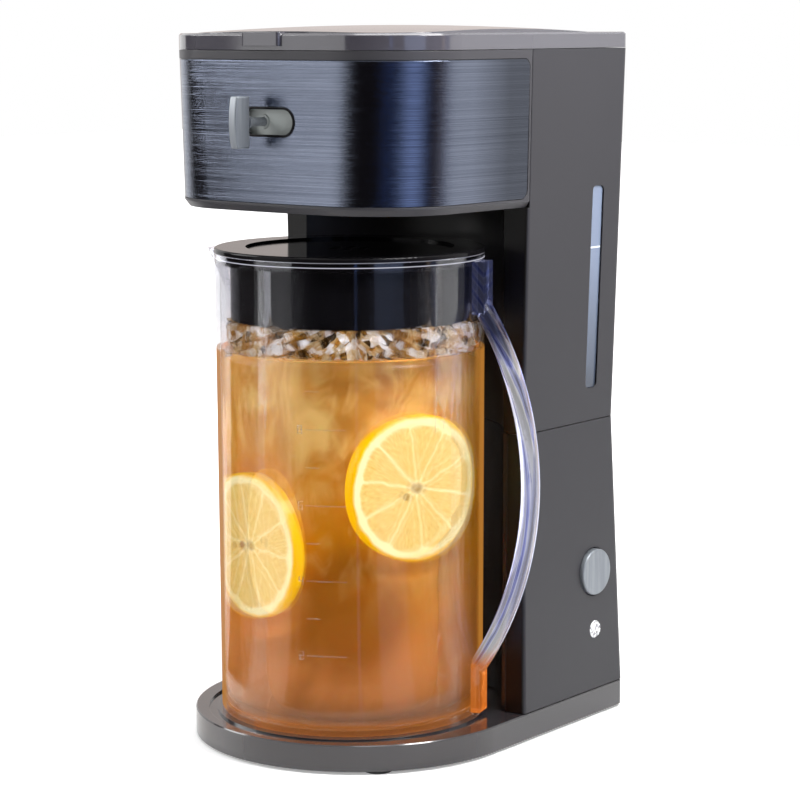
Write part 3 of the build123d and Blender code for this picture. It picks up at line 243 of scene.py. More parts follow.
class EffectLibrary:
    """Node groups that several materials share."""

    def __init__(self) -> None:
        """Build each group once."""
        self.grain = self._grain()
        self.brush = self._brush()
        self.handling = self._handling()

    def _start(self, name: str, inputs: dict[str, float], outputs: tuple[str, ...]) -> tuple:
        """Make an empty group with a vector input and named value sockets.

        Args:
            name: Name of the group.
            inputs: Input names with their defaults.
            outputs: Output names.

        Returns:
            The group, its bench, the sockets that it is given and the sockets that it puts out.
        """
        group = bpy.data.node_groups.new(name, "ShaderNodeTree")
        group.interface.new_socket(name="Vector", in_out="INPUT", socket_type="NodeSocketVector")
        for label, value in inputs.items():
            socket = group.interface.new_socket(name=label, in_out="INPUT", socket_type="NodeSocketFloat")
            socket.default_value = value
        for label in outputs:
            group.interface.new_socket(name=label, in_out="OUTPUT", socket_type="NodeSocketFloat")
        bench = NodeBench(group)
        return group, bench, bench.add("NodeGroupInput").outputs, bench.add("NodeGroupOutput").inputs

    def _grain(self) -> bpy.types.NodeTree:
        """Fine moulded grain: small pits over a slow swell."""
        group, bench, given, out = self._start("Moulded grain", {"Scale": 1200.0}, ("Height", "Swell"))
        fine = bench.noise(given["Vector"], given["Scale"], 3.0, 0.6)
        pits = bench.times(bench.cells(given["Vector"], given["Scale"])["Distance"], 0.5)
        bench.join(bench.math("ADD", fine, pits), out["Height"])
        bench.join(bench.noise(given["Vector"], 9.0, 2.0), out["Swell"])
        return group

    def _brush(self) -> bpy.types.NodeTree:
        """Brushed metal: hair lines along the sheet, in two widths, that fade in and out."""
        group, bench, given, out = self._start("Brushed lines", {}, ("Height", "Streak"))
        hair = bench.noise(given["Vector"], 1.0, 6.0, 0.75)
        band = bench.noise(bench.vector("MULTIPLY", given["Vector"], (0.7, 0.7, 0.45)), 1.0, 3.0, 0.6)
        both = bench.times(bench.times(hair, band), 2.0)
        bench.join(hair, out["Height"])
        bench.join(bench.math("ADD", both, bench.times(band, 0.5)), out["Streak"])
        return group

    def _handling(self) -> bpy.types.NodeTree:
        """Faint wiped marks and dust from use, as a mask from 0 to 1."""
        group, bench, given, out = self._start("Handling marks", {"Amount": 0.5}, ("Mask",))
        wiped = bench.span(bench.noise(given["Vector"], 18.0, 5.0, distortion=1.2), 0.45, 0.75)
        dots = bench.span(bench.noise(given["Vector"], 2600.0, 1.0), 0.68, 0.74)
        mask = bench.math("MAXIMUM", bench.times(dots, 0.6), wiped)
        bench.join(bench.math("MULTIPLY", mask, given["Amount"], clamp=True), out["Mask"])
        return group


def new_material(name: str) -> tuple[bpy.types.Material, NodeBench, Socket]:
    """Make a material with an empty tree and an output.

    Args:
        name: Name of the material.

    Returns:
        The material, its bench and the surface input of its output node.
    """
    material = bpy.data.materials.new(name)
    material.use_nodes = True
    material.node_tree.nodes.clear()
    bench = NodeBench(material.node_tree)
    return material, bench, bench.add("ShaderNodeOutputMaterial").inputs[0]


@dataclass(frozen=True)
class Finish(ABC):
    """A finish that builds one material."""

    name: str

    @abstractmethod
    def surface(self, bench: NodeBench, effects: EffectLibrary) -> Socket:
        """Add the nodes of the finish.

        Args:
            bench: Bench of the material's tree.
            effects: Shared node groups.

        Returns:
            The shader that the material shows.
        """

    def make(self, effects: EffectLibrary) -> bpy.types.Material:
        """Build the material.

        Args:
            effects: Shared node groups.

        Returns:
            The finished material.
        """
        material, bench, out = new_material(self.name)
        bench.join(self.surface(bench, effects), out)
        return material


@dataclass(frozen=True)
class MouldedPlastic(Finish):
    """Opaque moulded plastic with a fine grain, and, if given, a painted shade colour on faces turned to -Y.
    """

    colour: Colour
    roughness: float = 0.42
    grain: float = 0.18
    grain_scale: float = 1500.0
    variation: float = 0.06
    marks: float = 0.25
    edge: float = 0.0006
    specular: float = 0.5
    coat: float = 0.0
    painted_front_shade: Colour | None = None
    painted_front_shade_start: float = -0.6
    painted_front_shade_full: float = -0.95

    def surface(self, bench: NodeBench, effects: EffectLibrary) -> Socket:
        """Grain and wear over one colour, with a painted shade colour on faces turned to -Y where one is
        given.

        Args:
            bench: Bench of the material's tree.
            effects: Shared node groups.

        Returns:
            The shader that the material shows.
        """
        where = bench.place()
        grain = bench.use(effects.grain, where, Scale=self.grain_scale).outputs
        marks = bench.use(effects.handling, where, Amount=self.marks).outputs
        dark, light = ((*(min(1.0, part * share) for part in self.colour[:3]), 1.0)
                       for share in (1.0 - self.variation, 1.0 + self.variation))
        colour = bench.mix(grain["Swell"], dark, light)
        if self.painted_front_shade:
            # painted shade: faces turned to -Y take a darker colour, as faces in shade
            facing = bench.parts(bench.add("ShaderNodeTexCoord").outputs["Normal"])[1]
            colour = bench.mix(bench.span(facing, self.painted_front_shade_start, self.painted_front_shade_full), colour, self.painted_front_shade)
        rough = bench.span(marks["Mask"], 0.0, 1.0, self.roughness, min(1.0, self.roughness + 0.12))
        normal = bench.bump(grain["Height"], self.grain, MOULD_DEPTH, self.edge)
        return bench.principled({"Base Color": colour, "Roughness": rough, "Normal": normal,
                                 "Specular IOR Level": self.specular, "Coat Weight": self.coat,
                                 "Coat Roughness": 0.08})


@dataclass(frozen=True)
class BrushedMetal(Finish):
    """Metal sheet or turned metal with brushed lines, which may darken towards the back with painted shade.
    """

    colour: Colour
    pale: Colour
    roughness: float = 0.24
    stretch: Place = (7.0, 7.0, 900.0)
    depth: float = 0.2
    edge: float = 0.0005
    metallic: float = 1.0
    fade: tuple[float, float] | None = None
    painted_shade_depth: float = 0.62
    painted_shade_colour: Colour = linear(44, 44, 44)

    def surface(self, bench: NodeBench, effects: EffectLibrary) -> Socket:
        """Lines and wear over two close colours, with painted shade towards the back where a span is given.

        Args:
            bench: Bench of the material's tree.
            effects: Shared node groups.

        Returns:
            The shader that the material shows.
        """
        lines = bench.use(effects.brush, bench.place(self.stretch)).outputs
        marks = bench.use(effects.handling, bench.place(), Amount=0.3).outputs
        colour = bench.mix(bench.span(lines["Streak"], 0.45, 1.0), self.colour, self.pale)
        # painted shade: across this Y span the colour darkens to grey, standing in for a darker reflection
        if self.fade:
            along = bench.span(bench.parts(bench.place())[1], *self.fade, 0.0, self.painted_shade_depth)
            colour = bench.mix(along, colour, self.painted_shade_colour)
        rough = bench.span(marks["Mask"], 0.0, 1.0, self.roughness, self.roughness + 0.08)
        normal = bench.bump(lines["Height"], self.depth, MOULD_DEPTH, self.edge)
        return bench.principled({"Base Color": colour, "Roughness": rough, "Metallic": self.metallic,
                                 "Normal": normal})


@dataclass(frozen=True)
class ClearPlastic(Finish):
    """Clear moulded plastic or liquid that lets the studio's light through to what is inside."""

    tint: Colour
    ior: float = 1.49
    roughness: float = 0.02
    ripple: float = 0.02
    ripple_scale: float = 40.0
    shadow_tint: Colour = (0.93, 0.93, 0.95, 1.0)
    edge: float = 0.0004
    straight: float = 0.0
    rim: float = 1.0
    # painted glow below the level foot; lines are painted highlights, each a level and a colour
    foot: float = 0.0
    painted_foot_glow: Colour = linear(104, 56, 16)
    lines: tuple[tuple[float, Colour], ...] = ()
    line_width: float = 0.0004
    # painted glow towards the silhouette, in this colour
    painted_edge_glow: Colour | None = None
    # painted glow of the drink's colour at the silhouette, seen by the camera between fill_foot and fill_top
    fill_foot: float = 0.018
    fill_top: float = 0.0
    fill: Colour = linear(184, 122, 50)
    painted_drink_share: float = 0.75

    def surface(self, bench: NodeBench, effects: EffectLibrary) -> Socket:
        """Glass that shadows pass, with a painted amber glow at its foot, painted highlight lines, and
        painted glows at its silhouette, one of them in the drink's colour.

        Args:
            bench: Bench of the material's tree.
            effects: Shared node groups.

        Returns:
            The shader that the material shows.
        """
        where = bench.place()
        marks = bench.use(effects.handling, where, Amount=0.2).outputs
        rough = bench.span(marks["Mask"], 0.0, 1.0, self.roughness, self.roughness + 0.03)
        normal = bench.bump(bench.noise(where, self.ripple_scale, 2.0), self.ripple, 0.002, self.edge)
        # painted light: an amber glow at the foot, then painted highlight lines
        glow = bench.mix(bench.height(self.foot, self.foot - 0.004), BLACK, self.painted_foot_glow)
        for low, shine in self.lines:
            glow = bench.mix(bench.band(low, low + self.line_width, self.line_width / 4), glow, shine)
        # painted glow towards the silhouette
        if self.painted_edge_glow:
            glow = bench.mix(bench.span(bench.grazing(), 0.62, 0.92), glow, self.painted_edge_glow)
        glass = bench.principled({"Base Color": self.tint, "Roughness": rough, "Transmission Weight": 1.0,
                                  "IOR": self.ior, "Emission Color": glow, "Emission Strength": 1.0,
                                  "Normal": normal})
        below = bench.times(bench.height(self.rim, self.rim - 0.003), self.straight)
        free = bench.math("MAXIMUM", bench.rays(Ray.SHADOW, Ray.DIFFUSE), below)
        both = bench.blend(free, glass, bench.see_through(self.shadow_tint))
        # painted glow: the drink's colour shown to camera rays at the silhouette, beside the drink
        if self.fill_top:
            painted_drink_mask = bench.times(bench.band(self.fill_foot, self.fill_top, 0.001),
                             bench.span(bench.grazing(), 0.70, 0.78, 0.0, self.painted_drink_share))
            seen = bench.times(painted_drink_mask, bench.rays(Ray.CAMERA))
            both = bench.blend(seen, both, bench.emission(self.fill))
        return both


@dataclass(frozen=True)
class StreakedClear(Finish):
    """Thick clear plastic whose length carries painted highlights and painted shade, in bright and dark lines
    along a solid bow, shown as emission.
    """

    tint: Colour = linear(190, 192, 214)
    # colours of painted shade and painted highlights along the bow, shown as emission
    dark: Colour = linear(30, 36, 96)
    middle: Colour = linear(150, 156, 214)
    light: Colour = linear(250, 250, 255)
    warm: Colour = linear(176, 175, 171)
    glow: float = 0.40
    bow_middle: Place = (-0.060, 0.0, 0.142)
    spacing: float = 0.0026
    drift: float = 0.0032
    # painted shade over the handle's head
    head: Colour = linear(22, 27, 58)
    head_tint: Colour = linear(118, 124, 156)
    head_levels: tuple[float, float] = (0.214, 0.232)
    head_share: float = 0.94
    # painted amber glow at the handle's foot, as light from the drink
    amber: Colour = linear(176, 104, 40)
    foot_tint: Colour = linear(214, 150, 86)
    foot_levels: tuple[float, float] = (0.056, 0.046)

    def surface(self, bench: NodeBench, effects: EffectLibrary) -> Socket:
        """Painted highlight and shade lines that follow the bow, a head in painted shade and a painted amber
        glow at the foot from the drink.

        Args:
            bench: Bench of the material's tree.
            effects: Shared node groups.

        Returns:
            The shader that the material shows.
        """
        where = bench.place()
        bow = bench.vector("DISTANCE", where, self.bow_middle)
        across = bench.parts(where)
        strand = bench.add("ShaderNodeCombineXYZ", {0: bow, 1: bench.times(across[2], 0.06),
                                                    2: bench.times(across[1], 0.5)}).outputs[0]
        lines = bench.noise(strand, 300.0, 2.0)
        depth = bench.math("ADD", bow, bench.times(lines, self.drift))
        stripe = bench.math("PINGPONG", bench.math("DIVIDE", depth, self.spacing), 1.0)
        # painted highlights and painted shade: bright and dark bands along the bow
        painted_light = bench.ramp(stripe, (0.06, self.dark), (0.14, self.middle), (0.34, self.middle),
                         (0.42, self.light), (0.60, self.warm))
        # painted shade at the head, and a painted amber glow at the foot
        head = bench.times(bench.height(*self.head_levels), self.head_share)
        foot = bench.height(*self.foot_levels)
        painted_light = bench.mix(foot, bench.mix(head, painted_light, self.head), self.amber)
        tint = bench.mix(foot, bench.mix(head, self.tint, self.head_tint), self.foot_tint)
        swell = bench.use(effects.grain, where).outputs["Swell"]
        glass = bench.principled({"Base Color": tint, "Roughness": bench.span(swell, 0.0, 1.0, 0.02, 0.07),
                                  "Transmission Weight": 1.0, "IOR": 1.49, "Emission Color": painted_light,
                                  "Emission Strength": self.glow,
                                  "Normal": bench.bump(lines, 0.2, 0.001, 0.0006)})
        return bench.blend(bench.rays(Ray.SHADOW, Ray.DIFFUSE), glass, bench.see_through(self.tint))


@dataclass(frozen=True)
class FacetedLens(Finish):
    """Small clear lens whose facets carry painted glints, each glowing in a brightness of its own."""

    light: Colour = linear(250, 250, 252)
    dark: Colour = linear(112, 112, 118)
    cells: float = 900.0

    def surface(self, bench: NodeBench, effects: EffectLibrary) -> Socket:
        """Facets, each with a painted glint of its own brightness.

        Args:
            bench: Bench of the material's tree.
            effects: Shared node groups.

        Returns:
            The shader that the material shows.
        """
        where = bench.place()
        cut = bench.cells(where, self.cells)
        # painted glints: each facet takes one brightness, and glows in it
        colour = bench.mix(bench.span(bench.parts(cut["Color"])[0], 0.1, 0.7), self.dark, self.light)
        grain = bench.use(effects.grain, where).outputs
        rough = bench.span(grain["Swell"], 0.0, 1.0, 0.05, 0.12)
        return bench.principled({"Base Color": colour, "Roughness": rough, "Emission Color": colour,
                                 "Emission Strength": 0.25, "Coat Weight": 1.0,
                                 "Normal": bench.bump(cut["Distance"], 0.5, 0.0006)})


@dataclass(frozen=True)
class FrostedStrip(Finish):
    """Frosted clear strip of the water gauge, paler where it looks into the empty tank."""

    low: float
    high: float
    foot: Colour
    head: Colour
    line: Colour = linear(226, 230, 238)

    def surface(self, bench: NodeBench, effects: EffectLibrary) -> Socket:
        """A rising colour with one fine line at the full level.

        Args:
            bench: Bench of the material's tree.
            effects: Shared node groups.

        Returns:
            The shader that the material shows.
        """
        grain = bench.use(effects.grain, bench.place()).outputs
        mottle = bench.times(grain["Swell"], 0.12)
        level = bench.math("ADD", bench.height(self.low, self.high), mottle, clamp=True)
        line = bench.band(self.high - 0.0011, self.high + 0.0001, 0.0002)
        colour = bench.mix(line, bench.mix(level, self.foot, self.head), self.line)
        return bench.principled({"Base Color": colour, "Roughness": 0.22, "Coat Weight": 0.5,
                                 "Normal": bench.bump(grain["Height"], 0.08, MOULD_DEPTH)})


@dataclass(frozen=True)
class CloudyTea(Finish):
    """Tea crowded with ice: pale mottled shards above, clear amber in the middle, brown towards the foot."""

    foot: Colour = linear(200, 130, 72)
    middle: Colour = linear(206, 136, 24)
    top: Colour = linear(206, 150, 72)
    shard: Colour = linear(238, 202, 130)
    shade: Colour = linear(142, 82, 14)
    # painted shade: place and size of a soft dark spot in the drink
    painted_shade_place: Place = (0.046, -0.059, 0.083)
    painted_shade_size: float = 0.048
    colour_levels: tuple[float, float] = (0.020, 0.225)
    shard_levels: tuple[float, float] = (0.070, 0.190)

    def _shards(self, bench: NodeBench) -> Socket:
        """Long slanting pale flecks of ice edges, partly painted glints: a stretched, folded noise, kept to
        the upper half.
        """
        slant = bench.add("ShaderNodeMapping", {"Vector": bench.place(), "Rotation": (0.5, 0.35, 0.0),
                                                "Scale": (1.0, 1.0, 0.42)}).outputs[0]
        folds = bench.times(bench.noise(slant, 62.0, 3.0, 0.55, 1.4), 0.6)
        broad = bench.times(bench.noise(slant, 24.0, 2.0), 0.4)
        fleck = bench.span(bench.math("ADD", folds, broad), 0.47, 0.63)
        return bench.times(fleck, bench.height(*self.shard_levels))

    def surface(self, bench: NodeBench, effects: EffectLibrary) -> Socket:
        """Colour by level, with murk, a soft spot of painted shade, pale shards partly painted as glints, and
        a faint painted glow over all.

        Args:
            bench: Bench of the material's tree.
            effects: Shared node groups.

        Returns:
            The shader that the material shows.
        """
        where = bench.place()
        level = bench.height(*self.colour_levels)
        body = bench.ramp(level, (0.16, self.foot), (0.50, self.middle), (0.86, self.top))
        murk = bench.span(bench.noise(where, 26.0, 3.0, distortion=0.6), 0.5, 0.72, 0.0, 0.55)
        # painted shade: a soft dark spot low in the drink
        near = bench.vector("DISTANCE", where, self.painted_shade_place)
        deep = bench.span(near, self.painted_shade_size, self.painted_shade_size * 0.55, 0.0, 0.75, "SMOOTHSTEP")
        body = bench.mix(deep, bench.mix(murk, body, self.shade), self.shade)
        # pale shards: ice, partly painted glints on its edges
        colour = bench.mix(bench.times(self._shards(bench), 0.9), body, self.shard)
        fine = bench.use(effects.grain, where, Scale=160.0).outputs
        # painted glow: the drink shines faintly in its own colour
        return bench.principled({"Base Color": colour, "Roughness": 0.6, "Subsurface Weight": 0.35,
                                 "Subsurface Scale": 0.008, "Specular IOR Level": 0.0,
                                 "Emission Color": colour, "Emission Strength": 0.22,
                                 "Normal": bench.bump(fine["Height"], 0.12, 0.001)})


@dataclass(frozen=True)
class CrackedIce(Finish):
    """Ice that tea has run over: gold where tea covers it, with facets painted white as glints and dark as
    shade, all glowing faintly.
    """

    dark: Colour = linear(34, 24, 10)
    gold: Colour = linear(180, 124, 40)
    pale: Colour = linear(206, 184, 140)
    white: Colour = linear(240, 240, 242)
    cells: float = 230.0

    def surface(self, bench: NodeBench, effects: EffectLibrary) -> Socket:
        """Cells of one brightness each, stirred by a swirl: white as painted glints, gold as tea and dark as
        painted shade.

        Args:
            bench: Bench of the material's tree.
            effects: Shared node groups.

        Returns:
            The shader that the material shows.
        """
        where = bench.place()
        cracks = bench.cells(where, self.cells)
        swirl = bench.times(bench.noise(where, 230.0, 3.0, distortion=2.5), 0.5)
        both = bench.math("ADD", bench.times(bench.parts(cracks["Color"])[0], 0.65), swirl)
        # painted glints and painted shade: white and dark facets, with tea gold between, all glowing faintly
        colour = bench.ramp(both, (0.32, self.dark), (0.46, self.gold), (0.62, self.pale), (0.84, self.white))
        swell = bench.use(effects.grain, where, Scale=300.0).outputs["Swell"]
        ice = bench.principled({"Base Color": colour, "Roughness": bench.span(swell, 0.0, 1.0, 0.04, 0.2),
                                "Transmission Weight": 0.6, "IOR": 1.31, "Emission Color": colour,
                                "Emission Strength": 0.22,
                                "Normal": bench.bump(cracks["Distance"], 0.7, 0.002)})
        return bench.blend(bench.rays(Ray.SHADOW), ice, bench.see_through(self.pale))


@dataclass(frozen=True)
class CitrusFace(Finish):
    """Cut face of a lemon wheel, drawn in wheel radii in the face's own plane by the piece's UV map."""

    segments: int = 10
    rind: Colour = linear(255, 200, 6)
    pith: Colour = linear(255, 246, 196)
    flesh: Colour = linear(243, 220, 146)
    deep: Colour = linear(228, 188, 98)
    core: Colour = linear(140, 84, 26)
    wobble: Place = (0.09, 0.09, 0.09)
    pip_place: Place = (-0.13, -0.13, 0.0)

    def _inside(self, bench: NodeBench, angle: Socket, length: Socket) -> Socket:
        """Mask of the flesh: segments with rounded outer corners, parted by thin walls.

        Args:
            bench: Bench of the material's tree.
            angle: Angle round the wheel, in radians.
            length: Distance from its middle, in wheel radii.

        Returns:
            1 in the flesh and 0 in the pith.
        """
        turns = bench.times(angle, self.segments / (2 * math.pi))
        saw = bench.math("PINGPONG", turns, 0.5)
        away = bench.times(bench.times(saw, length), 2 * math.pi / self.segments)
        wedge = bench.span(away, 0.004, 0.03, 0.25, 1.0)
        narrow = bench.math("POWER", bench.math("SUBTRACT", 1.0, bench.times(saw, 2.0)), 3.0)
        rounded = bench.math("ADD", length, bench.times(narrow, 0.05))
        outer = bench.span(rounded, 0.89, 0.85)
        return bench.times(bench.times(wedge, outer), bench.span(length, 0.06, 0.14))

    def surface(self, bench: NodeBench, effects: EffectLibrary) -> Socket:
        """Rind, pith, juicy segments, a core and a pip.

        Args:
            bench: Bench of the material's tree.
            effects: Shared node groups; not used.

        Returns:
            The shader that the material shows.
        """
        spot = bench.add("ShaderNodeUVMap", uv_map="face").outputs[0]
        noise = bench.add("ShaderNodeTexNoise", {"Vector": spot, "Scale": 3.5, "Detail": 2.0})
        shift = bench.vector("SUBTRACT", noise.outputs["Color"], (0.5, 0.5, 0.5))
        warped = bench.vector("ADD", spot, bench.vector("MULTIPLY", shift, self.wobble))
        length = bench.vector("LENGTH", warped)
        across, above, _ = bench.parts(warped)
        angle = bench.math("ARCTAN2", above, across)
        fibres = bench.add("ShaderNodeCombineXYZ", {0: bench.times(angle, 14.0),
                                                    1: bench.times(length, 5.0)}).outputs[0]
        juice = bench.noise(fibres, 2.2, 3.0)
        ripe = bench.mix(bench.span(juice, 0.35, 0.7), self.flesh, self.deep)
        pale = bench.mix(bench.span(length, 0.945, 0.985), self.pith, self.rind)
        seed = bench.span(bench.vector("DISTANCE", warped, self.pip_place), 0.065, 0.04)
        brown = bench.times(bench.math("MAXIMUM", seed, bench.span(length, 0.1, 0.05)), 0.8)
        colour = bench.mix(brown, bench.mix(self._inside(bench, angle, length), pale, ripe), self.core)
        # painted glow: the wheel shines faintly in its own colours
        return bench.principled({"Base Color": colour, "Roughness": 0.35, "Subsurface Weight": 0.25,
                                 "Subsurface Scale": 0.004, "Specular IOR Level": 0.1,
                                 "Emission Color": colour, "Emission Strength": 0.3,
                                 "Normal": bench.bump(juice, 0.3, 0.001)})


def spread(*values: np.ndarray) -> np.ndarray:
    """Spread values over one grid and stack them along a new last axis."""
    return np.stack(np.broadcast_arrays(*values), -1)


def around(radius: np.ndarray, turn: np.ndarray, level: np.ndarray) -> np.ndarray:
    """Points, one row each, at a radius, a direction and a level about the pitcher's axis."""
    x = PITCHER_AXIS[0] + radius * np.cos(turn)
    y = PITCHER_AXIS[1] + radius * np.sin(turn)
    return spread(x, y, level).reshape(-1, 3)


def directions(degrees: float) -> tuple[np.ndarray, np.ndarray]:
    """Level unit vectors: one in a direction from +X, and one a quarter turn on from it."""
    angle = math.radians(degrees)
    return (np.array([math.cos(angle), math.sin(angle), 0.0]),
            np.array([-math.sin(angle), math.cos(angle), 0.0]))


def points_of(piece: bpy.types.Object) -> np.ndarray:
    """Points of a piece, one row each."""
    points = np.zeros(len(piece.data.vertices) * 3)
    piece.data.vertices.foreach_get("co", points)
    return points.reshape(-1, 3)


def new_object(name: str, data: bpy.types.ID) -> bpy.types.Object:
    """Put a mesh, a camera or a light into the scene."""
    made = bpy.data.objects.new(name, data)
    bpy.context.scene.collection.objects.link(made)
    return made


class SurfaceShop:
    """Turns grids of points into mesh objects."""

    @staticmethod
    def quads(rows: int, columns: int, wrap: bool, start: int = 0) -> list[list[int]]:
        """Corner numbers of the quads of a grid.

        Args:
            rows: Number of rows of points.
            columns: Number of points in a row.
            wrap: Whether the last column joins the first.
            start: Number of the grid's first point.

        Returns:
            Four corner numbers for each quad.
        """
        down = np.arange(rows - 1)[:, None]
        across = np.arange(columns if wrap else columns - 1)[None, :]
        following = (across + 1) % columns
        corners = spread(down * columns + across, down * columns + following,
                         (down + 1) * columns + following, (down + 1) * columns + across)
        return (corners.reshape(-1, 4) + start).tolist()

    @staticmethod
    def build(name: str, points: np.ndarray, faces: list, smooth: bool = True) -> bpy.types.Object:
        """Make a mesh object at the origin and recalculate its normals outwards.

        Args:
            name: Name of the piece.
            points: Points in metres, one row each.
            faces: Corner numbers, face by face.
            smooth: Whether the faces are shaded smooth.

        Returns:
            The new object, linked to the scene.
        """
        mesh = bpy.data.meshes.new(name)
        mesh.from_pydata(points.tolist(), [], faces)
        work = bmesh.new()
        work.from_mesh(mesh)
        bmesh.ops.remove_doubles(work, verts=work.verts, dist=1e-7)
        bmesh.ops.recalc_face_normals(work, faces=work.faces)
        work.to_mesh(mesh)
        work.free()
        mesh.polygons.foreach_set("use_smooth", np.full(len(mesh.polygons), smooth))
        return new_object(name, mesh)

    @classmethod
    def turned(cls, name: str, profile: np.ndarray, steps: int, bumps: float = 0.0) -> bpy.types.Object:
        """Turn a profile about the pitcher's axis.

        Args:
            name: Name of the piece.
            profile: Radius and height, one row each, from the middle of the foot to the middle of the top.
            steps: Number of steps round the axis.
            bumps: Depth of slow swells added to the radius, as a sum of three waves round and up.

        Returns:
            The new object.
        """
        turn = np.linspace(0.0, 2 * math.pi, steps, endpoint=False)[None, :]
        radius = profile[:, 0][:, None]
        level = profile[:, 1][:, None]
        swell = (np.sin(5 * turn + 61 * level) + np.sin(9 * turn - 97 * level + 1.3)
                 + np.sin(3 * turn + 180 * level))
        radius = radius + bumps * swell * (radius > 0.02) / 3.0
        return cls.build(name, around(radius, turn, level), cls.quads(len(profile), steps, True))


def paint(piece: bpy.types.Object, material: bpy.types.Material) -> None:
    """Put one material on every slot of a piece."""
    if not piece.material_slots:
        piece.data.materials.append(material)
    for slot in piece.material_slots:
        slot.material = material


@dataclass(frozen=True)
class Wheel:
    """A slice of lemon: its direction from +X, the level of its middle in metres, and its turn in degrees."""

    name: str
    direction: float
    level: float
    turn: float


@dataclass
class Drink:
    """Tea, ice and two lemon wheels inside the pitcher."""

    level: float = DRINK_LEVEL
    gap: float = 0.00015
    core: float = 0.0548
    core_top: float = DRINK_LEVEL - 0.0023
    ice_count: int = 250
    ice_size: float = 0.0088
    ice_top: float = 0.2376
    lemon_radius: float = 0.0402
    lemon_thick: float = 0.0075
    wall_gap: float = 0.0012
    wheels: tuple[Wheel, ...] = (
        Wheel("right_lemon", -14.0, 0.1495, 12.0),
        Wheel("left_lemon", -109.8, 0.1145, 40.0),
    )

    def tea(self) -> bpy.types.Object:
        """Clear outer tea: a rounded foot, a straight side and a meniscus at the top."""
        radius = PITCHER_INNER - self.gap
        low = PITCHER_FLOOR + 0.0002
        bend = np.linspace(0.0, math.pi / 2, 7)
        foot = np.stack([radius - 0.003 + 0.003 * np.sin(bend), low + 0.003 - 0.003 * np.cos(bend)], -1)
        side = np.stack([np.full(30, radius), np.linspace(low + 0.004, self.level, 30)], -1)
        rim = np.array([(radius - 0.0006, self.level - 0.0008), (radius - 0.002, self.level - 0.0016)])
        top = np.stack([np.linspace(radius - 0.004, 0.0, 16), np.full(16, self.level - 0.002)], -1)
        profile = np.concatenate([[(0.0, low)], foot, side, rim, top])
        return SurfaceShop.turned("clear_tea", profile, 128)

    def cloud(self) -> bpy.types.Object:
        """Cloudy middle of the drink, with swells like crowded ice."""
        low = PITCHER_FLOOR + 0.0012
        rise = np.linspace(0.0, 1.0, 90)
        edge = np.minimum(1.0, np.minimum(rise, 1.0 - rise) * 16.0)
        side = np.stack([self.core - 0.004 * (1.0 - np.sqrt(edge)), low + (self.core_top - low) * rise], -1)
        profile = np.concatenate([[(0.0, low)], side, [(0.0, self.core_top)]])
        made = SurfaceShop.turned("cloudy_tea", profile, 200, 0.0010)
        points = points_of(made)
        for wheel in self.wheels:
            points = self._hollow(points, wheel)
        made.data.vertices.foreach_set("co", points.ravel())
        made.data.update()
        return made

    def _hollow(self, points: np.ndarray, wheel: Wheel) -> np.ndarray:
        """Press points back to the lemon's rear plane, fully within its radius and fading out just beyond it.

        Args:
            points: Points of the cloud, one row each.
            wheel: The lemon wheel that stands before them.

        Returns:
            The moved points.
        """
        normal, _ = directions(wheel.direction)
        away = points - np.array([*PITCHER_AXIS, wheel.level])
        depth = away @ normal
        flat = away - depth[:, None] * normal
        reach = np.linalg.norm(flat, axis=1) / self.lemon_radius
        share = np.clip((1.32 - reach) / 0.24, 0.0, 1.0)
        limit = self.lemon_plane() - self.lemon_thick - 0.0008
        excess = np.maximum(0.0, depth - limit) * share * share * (3.0 - 2.0 * share)
        return points - excess[:, None] * normal

    def lemon_plane(self) -> float:
        """Distance of a wheel's face from the axis, where its edge just clears the wall."""
        return math.sqrt((PITCHER_INNER - self.wall_gap) ** 2 - (self.lemon_radius * 1.02) ** 2)

    def ice(self) -> bpy.types.Object:
        """Crowded ice at the top: each chip is a coarse, rounded box, broken at random."""
        dice = np.random.default_rng(12)
        rows, columns = 6, 7
        power = 0.6
        up = np.linspace(-math.pi / 2, math.pi / 2, rows)[:, None]
        turn = np.linspace(-math.pi, math.pi, columns, endpoint=False)[None, :]

        def soft(values: np.ndarray) -> np.ndarray:
            """Signed power that squares a circle off."""
            return np.sign(values) * np.abs(values) ** power

        shape = spread(soft(np.cos(up)) * soft(np.cos(turn)), soft(np.cos(up)) * soft(np.sin(turn)),
                       soft(np.sin(up))).reshape(-1, 3)
        points: list[np.ndarray] = []
        faces: list = []
        for index in range(self.ice_count):
            size = self.ice_size * dice.uniform(0.3, 1.05, 3)
            axes, _ = np.linalg.qr(dice.normal(size=(3, 3)))
            angle = 2 * math.pi * (index * 0.381966 + dice.uniform(-0.02, 0.02))
            ring = 0.0640 - 0.012 * dice.uniform(0.0, 1.0) - 0.036 * (index % 4 == 3) * dice.uniform(0.3, 1.0)
            level = self.level + dice.uniform(0.0005, 0.0125)
            centre = np.array([PITCHER_AXIS[0] + ring * math.cos(angle),
                               PITCHER_AXIS[1] + ring * math.sin(angle), level])
            cube = shape * size * (1.0 + 0.13 * dice.normal(size=shape.shape[0]))[:, None] @ axes.T
            faces += SurfaceShop.quads(rows, columns, True, index * len(shape))
            points.append(cube + centre)
        every = np.concatenate(points)
        low = self.level - 0.0006
        every[:, 2] = np.where(every[:, 2] < low, low + 0.08 * (every[:, 2] - low), every[:, 2])
        over = np.maximum(0.0, every[:, 2] - self.ice_top)
        every[:, 2] -= 0.95 * over
        away = every[:, :2] - np.array(PITCHER_AXIS)
        far = np.linalg.norm(away, axis=1)
        limit = PITCHER_INNER - self.wall_gap
        every[:, :2] = np.array(PITCHER_AXIS) + away * np.minimum(1.0, limit / np.maximum(far, 1e-9))[:, None]
        return SurfaceShop.build("ice", every, faces, smooth=False)

